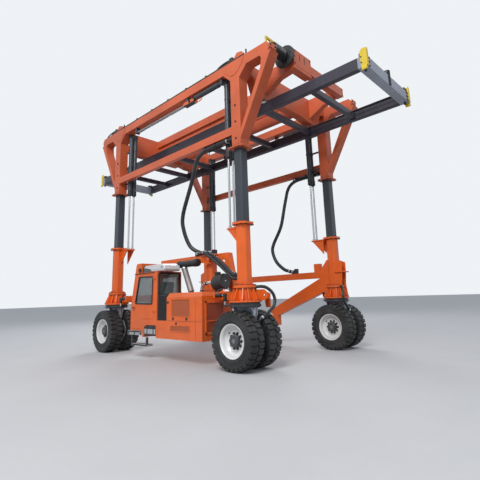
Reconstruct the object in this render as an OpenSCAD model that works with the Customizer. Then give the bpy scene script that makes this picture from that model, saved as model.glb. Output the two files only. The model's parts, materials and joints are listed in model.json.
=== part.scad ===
// Straddle carrier on four telescopic legs, standing with its lift raised.
// Axes: +X along the machine to its engine end, +Z up, the cab on the -Y side.
// Origin on the ground under the middle of the machine. Sizes in millimetres.

/* [Machine] */
// Distance between the front and rear leg centres
wheelbase = 5900; // [5700:50:6100]
// Distance between the near and far leg centres
track = 4100; // [4060:20:4200]
// Height of the base plates that stand on the steering rings
base_z = 1477; // [1465:4:1485]
// Height of the lower posts' top collars
collar_z = 3350; // [3250:25:3450]
// Height of the underside of the upper frame's legs
upper_z = 5235; // [5185:10:5285]
// Height of the underside of the top beams
beam_z = 7410; // [7380:10:7440]

/* [Wheels] */
// Tyre diameter
tyre_d = 1300; // [1240:10:1320]
// Width of one tyre
tyre_w = 400; // [360:10:410]
// Gap between twin tyres
twin_gap = 210; // [200:5:240]
// Rim diameter where the tyre sits
rim_d = 740; // [700:10:780]
// Wheel studs in each hub
studs = 10; // [8:1:12]
// Diameter of the ring of wheel studs
stud_pcd = 335; // [320:5:345]
// Axle diameter in the hubs
axle_d = 110; // [90:5:120]

/* [Legs] */
// Lower post across its flats
post_w = 315; // [310:5:335]
// Mast across its flats
mast_w = 245; // [240:5:250]
// Wall of the mast tube
mast_wall = 16; // [10:1:20]
// Stroke of the lift
lift_stroke = 1700; // [1500:20:1700]
// Base plate diameter
base_d = 770; // [760:5:780]
// Width of the upper legs
upper_w = 290; // [286:2:300]
// Lift rod diameter
rod_d = 60; // [50:2:70]
// Lift barrel diameter
barrel_d = 140; // [120:5:150]
// Lift barrel length
barrel_len = 2040; // [1980:20:2080]
// Distance of the lift cylinders from the leg centre, along the machine
rod_x = 500; // [490:5:520]

/* [Cab] */
// Thickness of the cab's walls and of its door
cab_wall = 40; // [30:5:50]
// Running gap round the door
door_gap = 5; // [4:1:8]

/* [Spreader] */
// Overall length of the spreader
spreader_len = 12200; // [12000:50:12300]
// Width over the spreader's side rails
spreader_w = 2440; // [2400:10:2460]
// Depth of the spreader's side rails
rail_h = 290; // [250:10:300]
// Height of the underside of the spreader's side rails
spreader_z = 6490; // [6450:10:6500]

/* [Hidden] */
$fn = 48;
leg_x = wheelbase/2;
leg_y = track/2;
axle_z = tyre_d/2;
pivot_gap = 0.3;          // running gap at pivots and guides
orange = [0.85, 0.33, 0.10];
slate = [0.25, 0.28, 0.32];
charcoal = [0.16, 0.16, 0.19];
black = [0.05, 0.05, 0.06];
steel = [0.75, 0.76, 0.78];
white = [0.92, 0.92, 0.90];
yellow = [0.90, 0.78, 0.15];

// Leg heights
ring_h = 52;              // slewing ring between yoke and base
drum_h = 323;             // base drum with its ribs
flange_t = 60;
flange_d = 550;           // flange between drum and post
foot_z = base_z + drum_h;             // top of the base drum
mast_foot_z = foot_z + flange_t;      // where the mast stands
arm_z0 = base_z + 55;                 // the arms from the near legs to the near beam
arm_z1 = arm_z0 + 210;
post_cut = 72;                        // corner cuts of the posts and masts
mast_cut = 16;
mast_top_z = beam_z - lift_stroke - 20;   // clear of the beam with the lift down
bracket_z = collar_z - 60;            // where the lift rods stand
barrel_z = upper_z - 10;              // underside of the lift barrels
rod_ys = [-230, -70];                 // rods across each leg, from its centre
arm_x = leg_x - 960;                  // where the leg arms meet the near beam
inner_y0 = 1420;                      // near beam's inner and outer faces, as |y|
inner_y1 = 1640;
wall_y = leg_y - 150;                 // inner face of the side frames, as |y|
face_y = leg_y + 150;                 // outer face of the side frames, as |y|
beam_h = 260;
beam_top = beam_z + beam_h;
beam_x = leg_x + 1140;                // half length of the top beams

// A square with its corners cut off
module cut_square(w, c) {
    h = w/2;
    polygon([[-h+c, -h], [h-c, -h], [h, -h+c], [h, h-c], [h-c, h], [-h+c, h], [-h, h-c], [-h, -h+c]]);
}
// Puts a piece on a leg, its +X outward along the machine and its +Y outward across it
module on_leg(sx, sy) {
    translate([sx*leg_x, sy*leg_y, 0])
        mirror([sx < 0 ? 1 : 0, 0, 0]) mirror([0, sy < 0 ? 1 : 0, 0]) children();
}
// An outline in X and Z, carried from y0 to y1
module in_xz(y0, y1) {
    translate([0, y1, 0]) rotate([90, 0, 0]) linear_extrude(y1 - y0) children();
}
// An outline in Y and Z, carried from x0 to x1
module in_yz(x0, x1) {
    translate([x0, 0, 0]) rotate([90, 0, 90]) linear_extrude(x1 - x0) children();
}
module block(x0, x1, y0, y1, z0, z1) {
    translate([x0, y0, z0]) cube([x1 - x0, y1 - y0, z1 - z0]);
}

// Lower legs
rib_angles = [0, 33.5, 56.5];      // ribs in each quarter of the base
drum_d = 460;
module mast_hole() {
    translate([0, 0, mast_foot_z]) linear_extrude(collar_z) cut_square(mast_w + 2*pivot_gap, mast_cut);
}
module lower_leg() {
    translate([0, 0, base_z]) cylinder(d = base_d, h = 40);
    translate([0, 0, base_z]) cylinder(d = drum_d, h = drum_h);
    for (quarter = [0 : 90 : 270], a = rib_angles) rotate([0, 0, quarter + a])
        in_xz(-12, 12) polygon([[drum_d/2 - 10, base_z + 20], [base_d/2 - 10, base_z + 20], [base_d/2 - 10, base_z + 70], [flange_d/2 - 15, foot_z], [drum_d/2 - 10, foot_z]]);
    difference() {
        union() {
            translate([0, 0, foot_z]) cylinder(d = flange_d, h = flange_t);
            translate([0, 0, mast_foot_z - 1]) linear_extrude(collar_z - mast_foot_z) cut_square(post_w, post_cut);
            translate([0, 0, collar_z - 50]) linear_extrude(50) cut_square(450, 90);
            // fins round the foot of the post
            for (a = [0 : 90 : 270]) rotate([0, 0, a]) for (y = [-60, 60]) in_xz(y - 8, y + 8)
                polygon([[post_w/2 - 20, mast_foot_z - 1], [250, mast_foot_z - 1], [post_w/2 + 5, mast_foot_z + 70], [post_w/2 - 20, mast_foot_z + 70]]);
            // bracket that holds the lift rods
            block(-rod_x - 60, -post_w/2 + 20, -300, 0, bracket_z - 40, bracket_z);
            for (y = [-280, -40]) in_xz(y, y + 25)
                polygon([[-rod_x - 50, bracket_z - 20], [-post_w/2 + 10, bracket_z - 20], [-post_w/2 + 10, bracket_z - 470]]);
            children();
        }
        mast_hole();
    }
}
module near_legs() color(orange) for (sx = [-1, 1]) on_leg(sx, -1) {
    lower_leg();
    block(arm_x - leg_x, -180, -(leg_y - inner_y0), -40, arm_z0, arm_z1);
    // lifting lug on the load's side, and the guard plate that it carries
    in_xz(-200, -160) difference() {
        polygon([[120, base_z + 30], [470, base_z + 30], [520, base_z + 90], [500, base_z + 220], [430, base_z + 278], [120, base_z + 278]]);
        translate([430, base_z + 153]) circle(d = 60);
    }
    block(310, 430, -356, -199, base_z + 60, base_z + 90);
    in_xz(-390, -355) polygon([[320, base_z - 130], [440, base_z - 130], [440, base_z + 180], [370, base_z + 213], [300, base_z + 180], [300, base_z]]);
}
module far_legs() color(orange) for (sx = [-1, 1]) on_leg(sx, 1) lower_leg() {
    // deep web between beam and brace, and the outer channel
    in_xz(-100, 100) polygon([[-100, base_z + 30], [-100, 2650], [-190, 2650], [-470, 2300], [-470, 1634], [-300, 1700], [-300, base_z + 30]]);
    for (y = [-130, 100]) in_xz(y, y + 30) polygon([[90, 2650], [330, 2550], [330, 2280], [300, 1900], [350, base_z + 30], [90, base_z + 30]]);
    block(90, 400, -175, 175, 2240, 2270);
}
module mast() {
    translate([0, 0, mast_foot_z]) linear_extrude(mast_top_z - mast_foot_z) difference() {
        cut_square(mast_w, mast_cut);
        cut_square(mast_w - 2*mast_wall, mast_cut/2);
    }
}
module near_masts() color(slate) for (sx = [-1, 1]) on_leg(sx, -1) mast();
module far_masts() color(slate) for (sx = [-1, 1]) on_leg(sx, 1) mast();
module lift_rods() {
    for (y = rod_ys) translate([-rod_x, y, bracket_z]) {
        cylinder(d = rod_d, h = upper_z + 140 - bracket_z);
        cylinder(d = 100, h = 50);
    }
}
module near_lift_rods() color(steel) for (sx = [-1, 1]) on_leg(sx, -1) lift_rods();
module far_lift_rods() color(steel) for (sx = [-1, 1]) on_leg(sx, 1) lift_rods();

// Near chassis
cab_x0 = -1290;
cab_x1 = cab_x0 + 1330;
frame_x0 = cab_x0 + 630;  // lower frame, from the cab to the engine end
frame_x1 = leg_x - 1020;
frame_z0 = 580;
frame_z1 = 1040;
side_y = -2500;           // outer face of the cab and the enclosure
cab_z0 = 750;
exhaust_y = -1840;        // centre line of the silencer
cab_y1 = -inner_y1 - 20;  // inner face of the cab and the hood
bay_w = (frame_x1 - frame_x0 - 750)/2;   // width of the two openings in the near beam
module near_beam() {
    difference() {
        in_xz(-inner_y1, -inner_y0) polygon([[-arm_x, arm_z1], [arm_x, arm_z1], [arm_x, arm_z0],
            [frame_x1 - 40, arm_z0 - 40], [frame_x1 - 40, frame_z0], [frame_x0, frame_z0], [cab_x0 - 60, arm_z0 - 40], [-arm_x, arm_z0]]);
        for (x = [frame_x0 + 300, frame_x0 + 440 + bay_w]) in_xz(-inner_y1 - 1, -inner_y0 + 1)
            polygon([[x + 60, 800], [x + bay_w - 100, 800], [x + bay_w, 900], [x + bay_w, 1330], [x + bay_w - 100, 1430], [x + 60, 1430], [x, 1330], [x, 900]]);
    }
}
tank_x = [frame_x0 + 80, cab_x1 - 30];
module lower_frame() {
    difference() {
        block(frame_x0, frame_x1, side_y, -inner_y1, frame_z0, frame_z1);
        // open pocket for the tank
        in_xz(side_y - 1, side_y + 300) polygon([[tank_x[0], frame_z0 - 1], [tank_x[1], frame_z0 - 1], [tank_x[1], frame_z1 - 130], [tank_x[0] + 120, frame_z1 - 130], [tank_x[0], frame_z1 - 190]]);
    }
}
module near_frame() color(orange) {
    near_beam();
    lower_frame();
}
tray_z = 2760;
tray_x0 = cab_x0 + 420;
module overhead_tray() color(orange) {
    in_xz(-inner_y1 + 20, -inner_y0 - 20) {
        polygon([[leg_x - 670, arm_z1], [leg_x - 800, 1880], [leg_x - 990, tray_z], [leg_x - 1390, tray_z], [leg_x - 1390, tray_z - 160], [leg_x - 1110, tray_z - 160], [arm_x, arm_z1]]);
        polygon([[frame_x1 - 710, arm_z1], [frame_x1 - 580, arm_z1], [frame_x1 - 580, tray_z - 39], [frame_x1 - 710, tray_z - 39]]);
    }
    block(tray_x0, leg_x - 1350, -inner_y1 - 100, -inner_y0, tray_z - 40, tray_z);
    in_xz(-inner_y1 - 100, -inner_y1 - 80) polygon([[tray_x0, tray_z], [tray_x0, tray_z - 80], [frame_x1 - 1030, tray_z - 200], [frame_x1 - 490, tray_z - 260], [frame_x1 - 930, tray_z]]);
}

// Cab
function slant(z) = cab_x0 + (z < 1430 ? 0 : (z - 1430)*0.213);   // front edge of the cab at a height
module cab_side() polygon([[cab_x0, cab_z0], [frame_x0 - 0.3, cab_z0], [frame_x0 - 0.3, frame_z1], [cab_x1, frame_z1],
    [cab_x1, 2370], [-740, 2370], [-760, 2650], [slant(2650) + 40, 2650], [slant(2600), 2600], [cab_x0, 1430]]);
module cab_room() polygon([[cab_x0 + cab_wall, cab_z0 + cab_wall], [frame_x0 - cab_wall, cab_z0 + cab_wall],
    [frame_x0 - cab_wall, frame_z1 + cab_wall], [cab_x1 - cab_wall, frame_z1 + cab_wall], [cab_x1 - cab_wall, 2330],
    [slant(2330) + cab_wall, 2330], [cab_x0 + cab_wall, 1430]]);
module door_outline(g = 0) polygon([[cab_x0 + 45 + g, cab_z0 + 40 + g], [frame_x0 - 30 - g, cab_z0 + 40 + g],
    [frame_x0 - 30 - g, frame_z1 + 30 + g], [-110 - g, frame_z1 + 30 + g], [-110 - g, 2325 - g],
    [slant(2325) + 55 + g, 2325 - g], [cab_x0 + 45 + g, 1440]]);
module door_window(g = 0) polygon([[-1050 + g, 1500 + g], [-190 - g, 1480 + g], [-160 - g, 2230 - g], [-860 + g, 2250 - g]]);
module rear_window() polygon([[side_y + 50, 1700], [cab_y1 - 50, 1700], [cab_y1 - 50, 2325], [side_y + 50, 2325]]);
module cab_shell() color(orange) difference() {
    in_xz(side_y, cab_y1) cab_side();
    in_xz(side_y + cab_wall, cab_y1 - cab_wall) cab_room();
    in_xz(side_y - 1, side_y + cab_wall + 1) door_outline();
    // windscreen, rear window and inner side window
    in_yz(cab_x0 - 10, slant(2330) + cab_wall - 1) polygon([[side_y + 80, 1480], [cab_y1 - 80, 1480], [cab_y1 - 80, 2300], [side_y + 80, 2300]]);
    in_yz(cab_x1 - cab_wall - 1, cab_x1 + 1) rear_window();
    in_xz(cab_y1 - cab_wall - 1, cab_y1 + 1) polygon([[-1000, 1500], [-140, 1500], [-140, 2250], [-880, 2250]]);
}
hinge_x = -95;
hinge_y = side_y - 18;
module cab_door() color(orange) {
    difference() {
        in_xz(side_y, side_y + cab_wall) door_outline(door_gap);
        in_xz(side_y - 1, side_y + cab_wall + 1) door_window();
    }
    for (z = [1250, 2150]) {
        translate([hinge_x, hinge_y, z]) cylinder(d = 30, h = 60);
        block(hinge_x - 60, hinge_x, side_y - 10, side_y, z, z + 60);
        block(hinge_x - 60, hinge_x - 0, hinge_y, side_y - 8, z, z + 60);
    }
    block(-1180, -1060, side_y - 40, side_y, 1380, 1410);
}
module door_glass() color([0.2, 0.25, 0.28, 0.5]) in_xz(side_y + 12, side_y + 20) door_window(0);
module cab_glass() color([0.2, 0.25, 0.28, 0.5]) {
    in_yz(cab_x1 - 26, cab_x1 - 18) rear_window();
    in_xz(cab_y1 - 26, cab_y1 - 18) polygon([[-1000, 1500], [-140, 1500], [-140, 2250], [-880, 2250]]);
    intersection() {
        in_xz(side_y + 80, cab_y1 - 80) polygon([[slant(1480) + 14, 1480], [slant(1480) + 22, 1480], [slant(2300) + 22, 2300], [slant(2300) + 14, 2300]]);
        block(cab_x0, 0, side_y, cab_y1, 1480, 2300);
    }
}
module cab_seat() color(charcoal) {
    seat_y = (side_y + cab_y1)/2;
    floor_z = frame_z1 + cab_wall;
    block(-500, -180, seat_y - 180, seat_y + 180, floor_z, floor_z + 260);
    block(-620, -120, seat_y - 240, seat_y + 240, floor_z + 260, floor_z + 380);
    in_xz(seat_y - 230, seat_y + 230) polygon([[-200, floor_z + 380], [-120, floor_z + 380], [-30, 2080], [-90, 2120]]);
    block(-1120, -960, seat_y - 200, seat_y + 200, cab_z0 + cab_wall, 1380);
}
module roof_unit() color(white) {
    in_xz(side_y + 10, exhaust_y - 105) polygon([[-739, 2370], [340, 2370], [380, 2420], [350, 2520], [250, 2565], [-650, 2565], [-739, 2510]]);
}

// Engine enclosure
hood_x0 = cab_x1 + 460;
hood_z1 = 1750;
module hood_outline(t = 0) polygon([[hood_x0 + t, frame_z1], [frame_x1 - t, frame_z1], [frame_x1 - t, hood_z1 - 100], [frame_x1 - 100, hood_z1 - t], [hood_x0 + t, hood_z1 - t]]);
module hood_room() polygon([[hood_x0 + 30, frame_z1 - 1], [frame_x1 - 30, frame_z1 - 1], [frame_x1 - 30, hood_z1 - 120], [frame_x1 - 110, hood_z1 - 120], [hood_x0 + 30, hood_z1 - 120]]);
module engine_hood() color(orange) difference() {
    intersection() {
        in_xz(side_y, cab_y1) hood_outline();
        in_yz(hood_x0, frame_x1) polygon([[side_y, frame_z1], [cab_y1, frame_z1], [cab_y1, hood_z1], [side_y + 100, hood_z1], [side_y, hood_z1 - 110]]);
    }
    in_xz(side_y + 40, cab_y1 - 30) hood_room();
    block(hood_x0 + 200, frame_x1 - 460, side_y - 1, side_y + 20, 1140, 1580);
}
module engine() color(black) block(hood_x0 + 200, frame_x1 - 230, side_y + 200, cab_y1 - 120, frame_z1, 1560);
module side_lockers() color(charcoal) {
    block(cab_x1 + 30, hood_x0 - 10, side_y + 20, -1900, frame_z1, 1700);
    in_xz(side_y + 10, side_y + 300) polygon([[tank_x[0] + 5, frame_z0 + 50], [tank_x[1] - 5, frame_z0 + 50], [tank_x[1] - 5, frame_z1 - 130], [tank_x[0] + 130, frame_z1 - 130], [tank_x[0] + 5, frame_z1 - 200]]);
}
module exhaust() {
    translate([cab_x1 + 130, exhaust_y, 2560]) rotate([0, 90, 0]) cylinder(d = 190, h = 860);
    for (x = [cab_x1 + 160, cab_x1 + 760]) block(x, x + 40, exhaust_y, -inner_y1 - 100, 2620, 2650);
    difference() {
        translate([cab_x1 + 330, exhaust_y, 2540]) rotate([0, 155, 0]) cylinder(d = 130, h = 950);
        block(cab_x1 + 330, cab_x1 + 960, exhaust_y - 100, exhaust_y + 100, 1500, hood_z1);
    }
}
module air_cleaner() {
    translate([frame_x1 - 120, -1900, 1946]) rotate([0, 80, 0]) cylinder(d = 380, h = 330);
    translate([frame_x1 - 60, -1900, hood_z1]) cylinder(d = 150, h = 480);
}
module exhaust_and_intake() color(black) {
    exhaust();
    air_cleaner();
}
module steps() color([0.6, 0.6, 0.62]) {
    // platform under the cab's front, and the low step under the frame
    block(cab_x0 - 140, frame_x0 - pivot_gap, side_y, side_y + 260, 620, 725);
    for (x = [cab_x0 + 60, cab_x0 + 460]) block(x, x + 60, side_y + 40, side_y + 240, 724, cab_z0);
    block(cab_x0 + 60, cab_x0 + 860, side_y, side_y + 200, 330, 370);
    block(cab_x0 + 60, cab_x0 + 100, side_y, side_y + 60, 369, 621);
    block(cab_x0 + 820, cab_x0 + 860, side_y, side_y + 60, 369, frame_z0);
}

// Far chassis
module far_truss() color(orange) {
    bx = leg_x - 470;
    block(-bx, bx, leg_y - 90, leg_y + 90, 2100, 2300);
    for (s = [-1, 1]) {
        in_xz(leg_y - 90, leg_y + 90)
            polygon([[s*bx, 2100], [s*bx, 1634], [s*600, 900], [s*320, 1080]]);
        block(min(s*(bx - 210), s*bx), max(s*(bx - 210), s*bx), leg_y - 80, leg_y + 80, 2300, 2560);
    }
    block(-700, 700, leg_y - 90, leg_y + 90, 620, 960);
}

// Upper frame
module top_beams() for (s = [-1, 1])
    in_xz(min(s*wall_y, s*face_y), max(s*wall_y, s*face_y)) polygon([[-beam_x, beam_z], [beam_x, beam_z], [beam_x + 40, beam_z + 60],
        [beam_x + 40, beam_top - 90], [beam_x - 50, beam_top], [-beam_x + 50, beam_top], [-beam_x - 40, beam_top - 90], [-beam_x - 40, beam_z + 60]]);
module upper_leg() {
    hw = upper_w/2;
    difference() {
        union() {
            in_xz(-150, 150) difference() {
                polygon([[-hw, upper_z + 30], [hw, upper_z + 30], [hw + 20, upper_z + 230], [1240, beam_z], [-410, beam_z], [-hw, beam_z - 270]]);
                polygon([[hw + 30, 5700], [hw + 30, beam_z - 290], [hw + 290, beam_z - 20], [870, beam_z - 20], [930, beam_z - 90], [890, beam_z - 340]]);
            }
            translate([0, 0, upper_z]) linear_extrude(35) cut_square(475, 45);
        }
        translate([0, 0, upper_z - 1]) linear_extrude(beam_z - upper_z + 1) cut_square(mast_w + 2*pivot_gap, mast_cut);
    }
}
module upper_legs() color(orange) for (sx = [-1, 1], sy = [-1, 1]) on_leg(sx, sy) upper_leg();
tie_z = 5630;
module ties() for (s = [-1, 1]) {
    x = leg_x - upper_w/2;
    block(-x, x, min(s*(face_y - 140), s*face_y), max(s*(face_y - 140), s*face_y), tie_z, tie_z + 220);
}
module side_beams() color(orange) {
    top_beams();
    ties();
}
girder_y = 570;
haunch_z = beam_z - 530;
cross_x = leg_x + 50;
web_z = beam_z - 410;       // underside of the girders
end_w = 1256;             // half width of the end beams
end_beam_x = beam_x - 110;  // their inner faces
module cross_frame() color(orange) {
    for (s = [-1, 1]) {
        in_yz(s*cross_x - 125, s*cross_x + 125) polygon([[-wall_y, beam_top], [wall_y, beam_top], [wall_y, beam_z], [1640, beam_z - 60],
            [1460, haunch_z], [900, haunch_z], [girder_y, haunch_z + 70], [-girder_y, haunch_z + 70], [-900, haunch_z], [-1460, haunch_z], [-1640, beam_z - 60], [-wall_y, beam_z]]);
        block(-cross_x, cross_x, s*girder_y - (s > 0 ? 150 : 0), s*girder_y + (s > 0 ? 0 : 150), beam_z, beam_top);
        block(-cross_x, cross_x, s*(girder_y - 100) - 20, s*(girder_y - 100) + 20, web_z, beam_z + 1);
        block(-cross_x, cross_x, s*(girder_y - 100) - 75, s*(girder_y - 100) + 75, web_z, web_z + 30);
        // cantilevers that carry the end beams
        for (sx = [-1, 1]) in_xz(s*1100 - 90, s*1100 + 90)
            polygon([[sx*(cross_x + 124), beam_top - 10], [sx*end_beam_x, beam_top - 10], [sx*end_beam_x, beam_z - 70], [sx*(beam_x - 450), beam_z - 110], [sx*(cross_x + 124), web_z + 30]]);
    }
}
module end_beams() color(orange) for (sx = [-1, 1]) {
    x0 = sx > 0 ? end_beam_x : -end_beam_x - 220;
    block(x0, x0 + 220, -end_w, end_w, beam_z + 20, beam_top + 20);
    block(x0, x0 + 220, sx > 0 ? -end_w : end_w - 786, sx > 0 ? -end_w + 786 : end_w, beam_z - 90, beam_top + 190);
}
module lift_barrels() color(slate) for (sx = [-1, 1], sy = [-1, 1]) on_leg(sx, sy) {
    for (y = rod_ys) difference() {
        translate([-rod_x, y, barrel_z]) union() {
            cylinder(d = barrel_d, h = barrel_len);
            translate([0, 0, -60]) cylinder(d = barrel_d + 15, h = 160);
        }
        translate([-rod_x, y, barrel_z - 61]) cylinder(d = rod_d + 2*pivot_gap, h = barrel_len);
    }
    block(-rod_x - 60, -rod_x + 60, -300, 0, barrel_z + barrel_len, beam_z);
}
ram_x0 = leg_x - 1670;     // hoist rams under the top beams
ram_len = 1100;
chain_x = leg_x - 1150;
module hoist_rams() color(black) for (s = [-1, 1]) {
    y = s*(leg_y + 60);
    translate([ram_x0, y, beam_z - 110]) rotate([0, 90, 0]) cylinder(d = 110, h = ram_len);
    block(ram_x0 + ram_len, ram_x0 + ram_len + 60, y - 55, y + 55, beam_z - 170, beam_z);
    block(ram_x0 - 480, ram_x0 + 1, y - 70, y + 70, beam_z - 220, beam_z - 120);
    block(ram_x0 - 380, ram_x0 - 280, y - 60, y + 60, beam_z - 121, beam_z);
    for (k = [-1 : 1]) translate([-chain_x, y + k*40, beam_z - 170]) rotate([0, 90, 0]) cylinder(d = 26, h = chain_x + ram_x0 - 479);
    block(-chain_x - 60, -chain_x, y - 70, y + 70, beam_z - 210, beam_z);
}
module hose_reel() color(black) {
    // drum along the beam's end, one large cheek, and its bracket on the end beam
    reel_x = beam_x - 90;
    translate([reel_x, -wall_y, beam_top - 20]) rotate([-90, 0, 0]) cylinder(d = 280, h = wall_y - end_w - 144);
    translate([reel_x, -end_w - 145, beam_top - 20]) rotate([-90, 0, 0]) cylinder(d = 600, h = 40);
    block(beam_x - 60, beam_x, -end_w - 106, -end_w, beam_z + 60, beam_top + 20);
}

module guard_rails() color(yellow) {
    for (y = [-face_y + 60, -wall_y - 60])
        block(beam_x - 100, beam_x - 60, y - 20, y + 20, beam_top + pivot_gap, beam_top + 146);
    block(beam_x - 100, beam_x - 60, -face_y + 40, -end_w - 164, beam_top + 145, beam_top + 185);
}

// Spreader
rail_y = spreader_w/2;
end_x = spreader_len/2 - 250;
bay_x = (spreader_len - 200)/8;   // spacing of the cross members
module spreader_frame() color(charcoal) {
    for (s = [-1, 1]) {
        block(-end_x, end_x, s > 0 ? rail_y - 120 : -rail_y, s > 0 ? rail_y : -rail_y + 120, spreader_z, spreader_z + rail_h);
        block(s > 0 ? end_x : -end_x - 220, s > 0 ? end_x + 220 : -end_x, -rail_y, rail_y, spreader_z, spreader_z + rail_h);
    }
    for (i = [-3 : 3]) block(i*bay_x - 70, i*bay_x + 70, -rail_y + 119, rail_y - 119, spreader_z + 40, spreader_z + 200);
}
module corner_guides() color(yellow) for (sx = [-1, 1], sy = [-1, 1]) mirror([sx < 0 ? 1 : 0, 0, 0]) mirror([0, sy < 0 ? 1 : 0, 0])
    block(end_x - 50, spreader_len/2, rail_y, rail_y + 30, spreader_z - 40, spreader_z + rail_h + 160);
lock_dx = spreader_len - 215;     // spacing of the container's corner castings
lock_dy = spreader_w - 181;
module twistlocks() color(black) for (sx = [-1, 1], sy = [-1, 1]) mirror([sx < 0 ? 1 : 0, 0, 0]) mirror([0, sy < 0 ? 1 : 0, 0]) {
    translate([lock_dx/2, lock_dy/2, spreader_z - 60]) cylinder(d = 60, h = 60);
    block(end_x + 40, end_x + 200, rail_y - 180, rail_y - 30, spreader_z + rail_h, spreader_z + rail_h + 100);
}
module hoist_chains() color(steel) for (sx = [-1, 1], sy = [-1, 1])
    translate([sx*cross_x, sy*1050, spreader_z + 200]) cylinder(d = 50, h = haunch_z - spreader_z - 200);

// Steering yokes and wheels
wheel_y = (twin_gap + tyre_w)/2;
ring_d = 700;
arm_t = 110;
module yoke() color(charcoal) {
    ring_z = base_z - pivot_gap;
    translate([0, 0, ring_z - ring_h]) cylinder(d = ring_d, h = ring_h);
    translate([0, 0, ring_z - 2*ring_h]) cylinder(d = 740, h = ring_h);
    in_xz(-arm_t/2, arm_t/2) polygon([[-330, ring_z - 2*ring_h + 1], [330, ring_z - 2*ring_h + 1], [130, axle_z], [90, axle_z - 110], [-90, axle_z - 110], [-130, axle_z]]);
    rotate([90, 0, 0]) translate([0, axle_z, -wheel_y - 90]) cylinder(d = axle_d, h = 2*wheel_y + 180);
}
module twin() { for (s = [-1, 1]) mirror([0, s < 0 ? 1 : 0, 0]) children(); }
module rims() color(white) translate([0, 0, axle_z]) rotate([-90, 0, 0]) difference() {
    for (s = [-1, 1]) mirror([0, 0, s < 0 ? 1 : 0]) {
        rotate_extrude() polygon([[100, wheel_y - tyre_w/2 + 20], [130, wheel_y - tyre_w/2 + 20], [150, wheel_y - 60], [rim_d/2 - 20, wheel_y - 60],
            [rim_d/2 - 20, wheel_y - tyre_w/2], [rim_d/2, wheel_y - tyre_w/2], [rim_d/2, wheel_y + tyre_w/2], [rim_d/2 - 20, wheel_y + tyre_w/2],
            [rim_d/2 - 20, wheel_y - 30], [200, wheel_y - 30], [150, wheel_y + 30], [135, wheel_y + 125], [0, wheel_y + 125], [0, wheel_y + 60], [100, wheel_y]]);
    }
    cylinder(d = axle_d + 0.1, h = 2*wheel_y + 181, center = true);
}
module tyres() color(black) translate([0, 0, axle_z]) rotate([-90, 0, 0])
    for (s = [-1, 1]) mirror([0, 0, s < 0 ? 1 : 0]) translate([0, 0, wheel_y]) rotate_extrude()
        polygon([[rim_d/2, -tyre_w/2], [rim_d/2 + 60, -tyre_w/2], [tyre_d/2 - 30, -tyre_w/2], [tyre_d/2, -tyre_w/2 + 25],
            [tyre_d/2, tyre_w/2 - 25], [tyre_d/2 - 30, tyre_w/2], [rim_d/2, tyre_w/2]]);
module yoke_nl() on_leg(-1, -1) yoke();
module yoke_nr() on_leg(1, -1) yoke();
module yoke_fl() on_leg(-1, 1) yoke();
module yoke_fr() on_leg(1, 1) yoke();
module rims_nl() on_leg(-1, -1) rims();
module rims_nr() on_leg(1, -1) rims();
module rims_fl() on_leg(-1, 1) rims();
module rims_fr() on_leg(1, 1) rims();
module tyres_nl() on_leg(-1, -1) tyres();
module tyres_nr() on_leg(1, -1) tyres();
module tyres_fl() on_leg(-1, 1) tyres();
module tyres_fr() on_leg(1, 1) tyres();

near_legs();
near_masts();
near_lift_rods();
near_frame();
overhead_tray();
cab_shell();
cab_door();
door_glass();
cab_glass();
cab_seat();
roof_unit();
engine_hood();
engine();
side_lockers();
exhaust_and_intake();
steps();
far_legs();
far_masts();
far_lift_rods();
far_truss();
side_beams();
upper_legs();
cross_frame();
end_beams();
guard_rails();
lift_barrels();
hoist_rams();
hose_reel();
spreader_frame();
corner_guides();
twistlocks();
hoist_chains();
yoke_nl();
yoke_nr();
yoke_fl();
yoke_fr();
rims_nl();
rims_nr();
rims_fl();
rims_fr();
tyres_nl();
tyres_nr();
tyres_fl();
tyres_fr();
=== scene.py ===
# %% [markdown]
# # A straddle carrier, dressed step by step
# The CAD part gives every steel member and joint. Here each gets its finish, and
# the small things are added that make it read as a working port machine: tread
# blocks, wheel nuts, hoses, bolts, grilles, lamps and the cab's fittings.
# All sizes are in metres, +X runs to the engine end and the cab is on the -Y side.

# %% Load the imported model
import json
import math
from itertools import product

import bmesh
import bpy
from mathutils import Matrix, Vector


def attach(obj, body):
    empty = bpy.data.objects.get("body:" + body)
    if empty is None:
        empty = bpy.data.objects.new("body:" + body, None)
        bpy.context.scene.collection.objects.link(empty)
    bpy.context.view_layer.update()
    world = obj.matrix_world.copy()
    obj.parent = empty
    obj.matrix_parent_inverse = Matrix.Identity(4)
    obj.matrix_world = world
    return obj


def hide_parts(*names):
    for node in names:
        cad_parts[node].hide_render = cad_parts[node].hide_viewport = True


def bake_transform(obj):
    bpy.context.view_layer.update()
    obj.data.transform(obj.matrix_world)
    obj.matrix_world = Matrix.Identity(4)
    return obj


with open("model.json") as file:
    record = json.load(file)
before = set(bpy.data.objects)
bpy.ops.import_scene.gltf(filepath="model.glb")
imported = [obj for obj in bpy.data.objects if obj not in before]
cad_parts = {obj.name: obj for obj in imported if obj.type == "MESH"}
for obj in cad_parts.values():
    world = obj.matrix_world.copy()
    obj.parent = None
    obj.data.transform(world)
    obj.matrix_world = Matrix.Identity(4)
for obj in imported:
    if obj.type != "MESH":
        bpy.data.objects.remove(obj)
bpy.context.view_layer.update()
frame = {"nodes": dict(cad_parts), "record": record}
NODE = frame["nodes"]
scene = bpy.context.scene

# %% [markdown]
# The camera stands low beside the engine end, where the photographer stood. Its
# lens, height and lean were worked out from the straight edges of the load, which
# has standard sizes. Colours are shown as they are, without a film look.

# %% Camera
PHOTO_PX = 480                         # the photograph's width and height
FOCAL_PX, AXIS_ROW = 384.98, 214       # its focal length, and the row that the lens points at
CAMERA_PLACE = (9.210, -8.734, 1.600)
CAMERA_TURN = (102.141, 1.745, 43.875)   # in degrees
SENSOR = 36.0


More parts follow.
